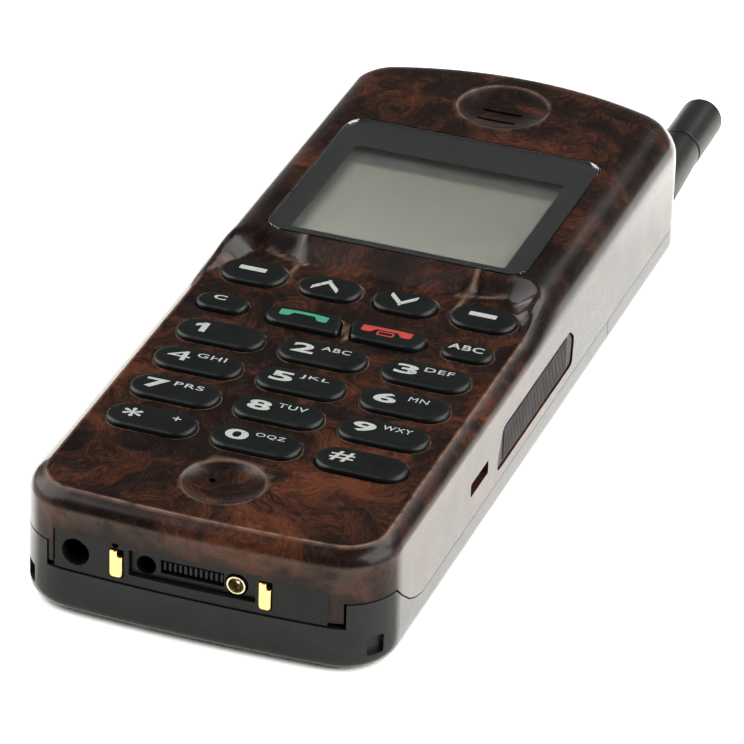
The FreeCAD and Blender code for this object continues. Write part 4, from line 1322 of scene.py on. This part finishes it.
# %% Burl figure
BURL_COLOURS = [   # from dark ground to red-brown flame, and a little darker again in its heart
    (0.34, (0.0026, 0.0014, 0.0012)), (0.47, (0.0066, 0.0028, 0.0019)), (0.55, (0.0165, 0.0056, 0.0030)),
    (0.64, (0.0300, 0.0090, 0.0042)), (0.75, (0.0480, 0.0145, 0.0060)), (0.86, (0.0290, 0.0085, 0.0038))]
KNOT_DARK = (0.003, 0.0016, 0.0013)
SCRATCH_SETS = ((0.35, 0.55), (1.25, 0.4), (2.4, 0.7))   # direction in radians, scale


def make_burl_group():
    tree, given, result = new_group(
        "burl_figure", [("Place", "Vector", None)], [("Color", "Color"), ("Figure", "Float")])
    place_at = given["Place"]
    swirl = noise(tree, place_at, 0.06, 2.0, output="Color")
    swirl = vector_maths(tree, "SCALE", vector_maths(tree, "SUBTRACT", swirl, (0.5, 0.5, 0.5)), scale=34.0)
    pushed = vector_maths(tree, "ADD", place_at, swirl)
    curl = noise(tree, pushed, 0.17, 2.0, output="Color")
    curl = vector_maths(tree, "SCALE", vector_maths(tree, "SUBTRACT", curl, (0.5, 0.5, 0.5)), scale=9.0)
    pushed = vector_maths(tree, "ADD", pushed, curl)
    figure = noise(tree, pushed, 0.10, 5.0, 0.6, 0.5)
    broad = noise(tree, place_at, 0.045, 1.0)
    figure = maths(tree, "ADD", figure, spread(tree, broad, 0.3, 0.7, -0.13, 0.08))
    bands = {"Vector": pushed, "Scale": 0.28, "Distortion": 5.0, "Detail": 3.0, "Detail Scale": 0.9,
             "Detail Roughness": 0.65}
    waves = add_node(tree, "ShaderNodeTexWave", bands).outputs["Fac"]
    fine = noise(tree, pushed, 1.9, 3.0, 0.65)
    fine = spread(tree, fine, 0.3, 0.7, -0.08, 0.08)
    fibre = maths(tree, "ADD", spread(tree, waves, 0.0, 1.0, -0.045, 0.045), fine)
    level = maths(tree, "ADD", figure, fibre)
    colour = ramp(tree, level, BURL_COLOURS)
    knot = add_node(tree, "ShaderNodeTexVoronoi", {"Vector": pushed, "Scale": 0.12}).outputs["Distance"]
    colour = mix_colour(tree, spread(tree, knot, 0.05, 0.3, 0.75, 0.0), colour, KNOT_DARK)
    tree.links.new(colour, result["Color"])
    tree.links.new(level, result["Figure"])
    return tree


def make_scratch_group():
    """Thin hairlines in a few directions, and smudges, as 0..1 masks."""
    tree, given, result = new_group(
        "handling_wear", [("Place", "Vector", None), ("Amount", "Float", 0.5)],
        [("Hairlines", "Float"), ("Smudge", "Float")])
    total = None
    for turn, scale in SCRATCH_SETS:
        values = {"Vector": given["Place"], "Rotation": (turn * 0.4, turn * 0.3, turn),
                  "Scale": (1.0, 0.045, 1.0)}
        turned = add_node(tree, "ShaderNodeMapping", values).outputs[0]
        cells = noise(tree, turned, scale * 3.2, 2.0, 0.7, 0.4)
        from_middle = maths(tree, "ABSOLUTE", maths(tree, "SUBTRACT", cells, 0.5))
        line = spread(tree, from_middle, 0.0, 0.006, 1.0, 0.0)
        gaps = spread(tree, noise(tree, given["Place"], 0.13 + turn * 0.02, 2.0), 0.5, 0.62)
        line = maths(tree, "MULTIPLY", line, gaps)
        total = line if total is None else maths(tree, "MAXIMUM", total, line)
    tree.links.new(maths(tree, "MULTIPLY", total, given["Amount"]), result["Hairlines"])
    smudge = spread(tree, noise(tree, given["Place"], 0.09, 4.0, 0.6, 0.8), 0.35, 0.7)
    tree.links.new(maths(tree, "MULTIPLY", smudge, given["Amount"]), result["Smudge"])
    return tree


BURL_FIGURE = make_burl_group()
HANDLING_WEAR = make_scratch_group()


# %% Burl cover with its glossy lacquer
SCRATCH_PALE = (0.06, 0.035, 0.022)
# Pale of rubbed lacquer, and of the painted highlight lines on the cover's rims and folds.
WEAR_AND_HIGHLIGHT_PALE = (0.145, 0.085, 0.056)


def make_burl_finish():
    material, tree, shader, place_at = new_finish("burl_lacquer")
    burl = place_group(tree, BURL_FIGURE, Place=place_at)
    wear = place_group(tree, HANDLING_WEAR, Place=place_at, Amount=1.0)
    # The pale lines of wear and painted highlight that are marked on the cover's points.
    wear_and_highlight = add_node(tree, "ShaderNodeAttribute", attribute_name="wear_and_highlight").outputs["Fac"]
    patchy = spread(tree, noise(tree, place_at, 0.35, 3.0, 0.6), 0.33, 0.6, 0.15, 1.0)
    wear_and_highlight = maths(tree, "MULTIPLY", wear_and_highlight, patchy)
    colour = mix_colour(tree, maths(tree, "MULTIPLY", wear["Hairlines"], 0.35), burl["Color"], SCRATCH_PALE)
    colour = mix_colour(tree, maths(tree, "MULTIPLY", wear_and_highlight, 0.8), colour, WEAR_AND_HIGHLIGHT_PALE)
    tree.links.new(colour, shader.inputs["Base Color"])
    rough = spread(tree, wear["Smudge"], 0.0, 1.0, 0.26, 0.36)
    rough = maths(tree, "ADD", rough, maths(tree, "MULTIPLY", wear_and_highlight, 0.25))
    tree.links.new(rough, shader.inputs["Roughness"])
    height = maths(tree, "ADD", maths(tree, "MULTIPLY", burl["Figure"], 0.25),
                   maths(tree, "MULTIPLY", wear["Hairlines"], -0.6))
    tree.links.new(bump(tree, height, 0.12, 0.00005), shader.inputs["Normal"])
    glancing_gloss(tree, shader, 0.02, 0.88)
    shader.inputs["Specular IOR Level"].default_value = 0.12
    shader.inputs["Coat Roughness"].default_value = 0.05
    shader.inputs["Coat IOR"].default_value = 1.65
    return material


# %% Plain plastics, rubber and metal
def make_plastic(name, colour, roughness, grain=0.6, grain_scale=9.0, wear=0.5, pale=(0.05, 0.05, 0.048),
                 coat=0.0):
    """Moulded plastic: a fine eroded texture, smudges in its gloss, and pale hairlines."""
    material, tree, shader, place_at = new_finish(name)
    used = place_group(tree, HANDLING_WEAR, Place=place_at, Amount=wear)
    cloud = noise(tree, place_at, 0.22, 3.0, 0.6)
    darker = tuple(c * 0.72 for c in colour)
    lighter = tuple(c * 1.3 for c in colour)
    tone = ramp(tree, cloud, [(0.3, darker), (0.7, lighter)])
    tone = mix_colour(tree, maths(tree, "MULTIPLY", used["Hairlines"], 0.5), tone, pale)
    tree.links.new(tone, shader.inputs["Base Color"])
    rough = spread(tree, used["Smudge"], 0.0, 0.6, roughness, roughness * 0.8)
    tree.links.new(rough, shader.inputs["Roughness"])
    skin = noise(tree, place_at, grain_scale, 2.0, 0.6)
    tree.links.new(bump(tree, skin, grain * 0.3, 0.00004), shader.inputs["Normal"])
    shader.inputs["Specular IOR Level"].default_value = 0.15
    if coat:
        glancing_gloss(tree, shader, 0.03, coat)
        shader.inputs["Coat Roughness"].default_value = 0.1
        shader.inputs["Coat IOR"].default_value = 1.6
    return material


def make_metal(name, colour, roughness, tarnish=0.35):
    """Plated metal with brushed lines and a little tarnish."""
    material, tree, shader, place_at = new_finish(name)
    lines = add_node(tree, "ShaderNodeMapping", {"Vector": place_at, "Scale": (1.0, 12.0, 1.0)}).outputs[0]
    streaks = noise(tree, lines, 2.2, 3.0, 0.65)
    stain = spread(tree, noise(tree, place_at, 0.8, 4.0, 0.6), 0.42, 0.72, 0.0, tarnish)
    tone = mix_colour(tree, stain, colour, tuple(c * 0.35 for c in colour))
    tree.links.new(tone, shader.inputs["Base Color"])
    uneven = spread(tree, streaks, 0.25, 0.75, roughness * 0.7, roughness * 1.4)
    tree.links.new(uneven, shader.inputs["Roughness"])
    tree.links.new(bump(tree, streaks, 0.15, 0.00003), shader.inputs["Normal"])
    shader.inputs["Metallic"].default_value = 1.0
    return material


# %% Clear pane, display and prints
def make_pane_finish():
    """Clear acrylic. Light from the lamps passes it, so what lies under it is lit."""
    material, tree, shader, place_at = new_finish("clear_pane")
    used = place_group(tree, HANDLING_WEAR, Place=place_at, Amount=0.6)
    tree.links.new(spread(tree, used["Smudge"], 0.0, 0.7, 0.015, 0.05), shader.inputs["Roughness"])
    tree.links.new(bump(tree, used["Hairlines"], 0.05, 0.00002), shader.inputs["Normal"])
    shader.inputs["Base Color"].default_value = (0.93, 0.94, 0.93, 1)
    shader.inputs["Transmission Weight"].default_value = 1.0
    shader.inputs["IOR"].default_value = 1.46
    through = add_node(tree, "ShaderNodeBsdfTransparent", {"Color": (0.9, 0.9, 0.9, 1)})
    path = tree.nodes.new("ShaderNodeLightPath")
    both = add_node(tree, "ShaderNodeMixShader", {"Fac": path.outputs["Is Shadow Ray"]})
    tree.links.new(shader.outputs[0], both.inputs[1])
    tree.links.new(through.outputs[0], both.inputs[2])
    tree.links.new(both.outputs[0], tree.nodes["Material Output"].inputs["Surface"])
    return material


# Painted shade: the display is darkened in a band along its top and left edges, where its deep border shades
# it.
SHADE_Y = (34.0, 34.9)        # above this the display lies in the shade of its deep border
SHADE_X = (-16.6, -15.3)      # and to the left of this


def make_display_finish():
    """A liquid crystal display's resting grey, darker to the upper right and a little uneven, with fine dot
    rows and painted shade along its top and left edges.
    """
    material, tree, shader, place_at = new_finish("display_grey")
    parts = add_node(tree, "ShaderNodeSeparateXYZ", {"Vector": place_at}).outputs
    slope = maths(tree, "ADD", spread(tree, parts["X"], -17, 17, 0.0, 0.35),
                  spread(tree, parts["Y"], 9, 38, 0.0, 0.6))
    uneven = spread(tree, noise(tree, place_at, 0.06, 2.0), 0.3, 0.7, -0.12, 0.12)
    slope = maths(tree, "ADD", slope, uneven)
    tone = ramp(tree, slope, [(0.0, (0.078, 0.078, 0.064)), (0.9, (0.046, 0.046, 0.037))])
    dot_rows = {"Vector": place_at, "Scale": 0.8}
    dots = add_node(tree, "ShaderNodeTexWave", dot_rows, bands_direction="Y").outputs["Fac"]
    tone = mix_colour(tree, spread(tree, dots, 0.0, 1.0, 0.0, 0.05), tone, (0.05, 0.052, 0.045))
    # Painted shade of the deep border, along the display's top and left edges.
    shade = maths(tree, "MAXIMUM", spread(tree, parts["Y"], *SHADE_Y, 0.0, 0.74),
                  spread(tree, parts["X"], *SHADE_X, 0.5, 0.0))
    tone = mix_colour(tree, shade, tone, (0.006, 0.007, 0.006))
    tree.links.new(tone, shader.inputs["Base Color"])
    tree.links.new(spread(tree, dots, 0.0, 1.0, 0.34, 0.42), shader.inputs["Roughness"])
    shader.inputs["Coat Weight"].default_value = 0.4
    return material


def make_print_finish(name, colour, worn_to):
    """Printing ink, rubbed thin in small spots."""
    material, tree, shader, place_at = new_finish(name)
    thin = spread(tree, noise(tree, place_at, 1.1, 4.0, 0.65), 0.58, 0.72, 0.0, 0.6)
    tree.links.new(mix_colour(tree, thin, colour, worn_to), shader.inputs["Base Color"])
    tree.links.new(spread(tree, thin, 0.0, 0.6, 0.42, 0.6), shader.inputs["Roughness"])
    tree.links.new(bump(tree, noise(tree, place_at, 6.0), 0.1, 0.00002), shader.inputs["Normal"])
    return material


# %% [markdown]
# Each slot of the record gets its finish. The pieces made above and the engineering model's
# own inner pieces are then dressed from the same table.

# %% Dress every piece
KEY_BLACK = (0.0022, 0.0029, 0.0028)
FINISHES = {
    "burl_cover": make_burl_finish(),
    "black_housing": make_plastic("housing_black", (0.0050, 0.0056, 0.0054), 0.42, 1.0, 7.0, coat=0.9),
    "battery_plastic": make_plastic("battery_charcoal", (0.0066, 0.0074, 0.0070), 0.44, 1.0, 6.0, wear=0.9,
                                    coat=0.9),
    "side_grip": make_plastic("grip_grey", (0.035, 0.030, 0.031), 0.55, 0.6, 9.0),
    "key_plastic": make_plastic("key_satin", KEY_BLACK, 0.36, 0.5, 8.0, wear=0.35, pale=(0.02, 0.022, 0.021)),
    "window_lens": make_pane_finish(),
    "border_print": make_plastic("border_black", (0.0016, 0.0022, 0.0021), 0.3, 0.2, 9.0, wear=0.1),
    "print_white": make_print_finish("print_white", (0.19, 0.20, 0.185), (0.02, 0.022, 0.021)),
    "print_green": make_print_finish("print_green", (0.016, 0.125, 0.072), (0.01, 0.03, 0.02)),
    "print_red": make_print_finish("print_red", (0.20, 0.016, 0.010), (0.05, 0.01, 0.008)),
    "lcd": make_display_finish(),
    "white_plastic": make_plastic("holder_white", (0.18, 0.18, 0.17), 0.5),
    "light_guide": make_plastic("guide_clear", (0.16, 0.17, 0.15), 0.25),
    "black_rubber": make_plastic("rubber_black", (0.006, 0.006, 0.006), 0.75, 1.0, 5.0),
    "grey_rubber": make_plastic("rubber_grey", (0.04, 0.042, 0.045), 0.7, 1.0, 5.0),
    "circuit_board": make_plastic("board_green", (0.006, 0.03, 0.012), 0.4, 0.6, 3.0),
    "tinned_steel": make_metal("tinned_steel", (0.42, 0.42, 0.40), 0.35),
    "chip_plastic": make_plastic("chip_black", (0.006, 0.006, 0.006), 0.6),
    "speaker_metal": make_metal("speaker_metal", (0.30, 0.30, 0.29), 0.4),
    "connector_black": make_plastic("connector_black", (0.0036, 0.0044, 0.0042), 0.42, 0.8, 8.0, wear=0.8),
    "gold_contact": make_metal("gold_plate", (0.95, 0.62, 0.22), 0.22, tarnish=0.2),
    "tooth_grey": make_plastic("tooth_grey", (0.014, 0.015, 0.016), 0.4, 0.4, 9.0),
    "coax_metal": make_metal("pale_gold", (0.52, 0.46, 0.30), 0.25),
    "antenna_plastic": make_plastic("antenna_black", (0.0070, 0.0074, 0.0068), 0.38, 0.6, 8.0),
    "antenna_steel": make_metal("antenna_steel", (0.45, 0.45, 0.44), 0.2),
    "cell_can": make_metal("cell_can", (0.35, 0.36, 0.37), 0.4),
    "screw_steel": make_metal("screw_steel", (0.20, 0.20, 0.20), 0.35),
}
for piece, coating in NEW_PIECES:
    piece.data.materials.clear()
    piece.data.materials.append(FINISHES[coating])
for name, node_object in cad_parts.items():
    for material_slot in node_object.material_slots:
        base = material_slot.material.name.split(".")[0]
        if base in FINISHES:
            material_slot.material = FINISHES[base]
        else:
            print("no finish for", name, base)
print("finishes:", len(FINISHES))
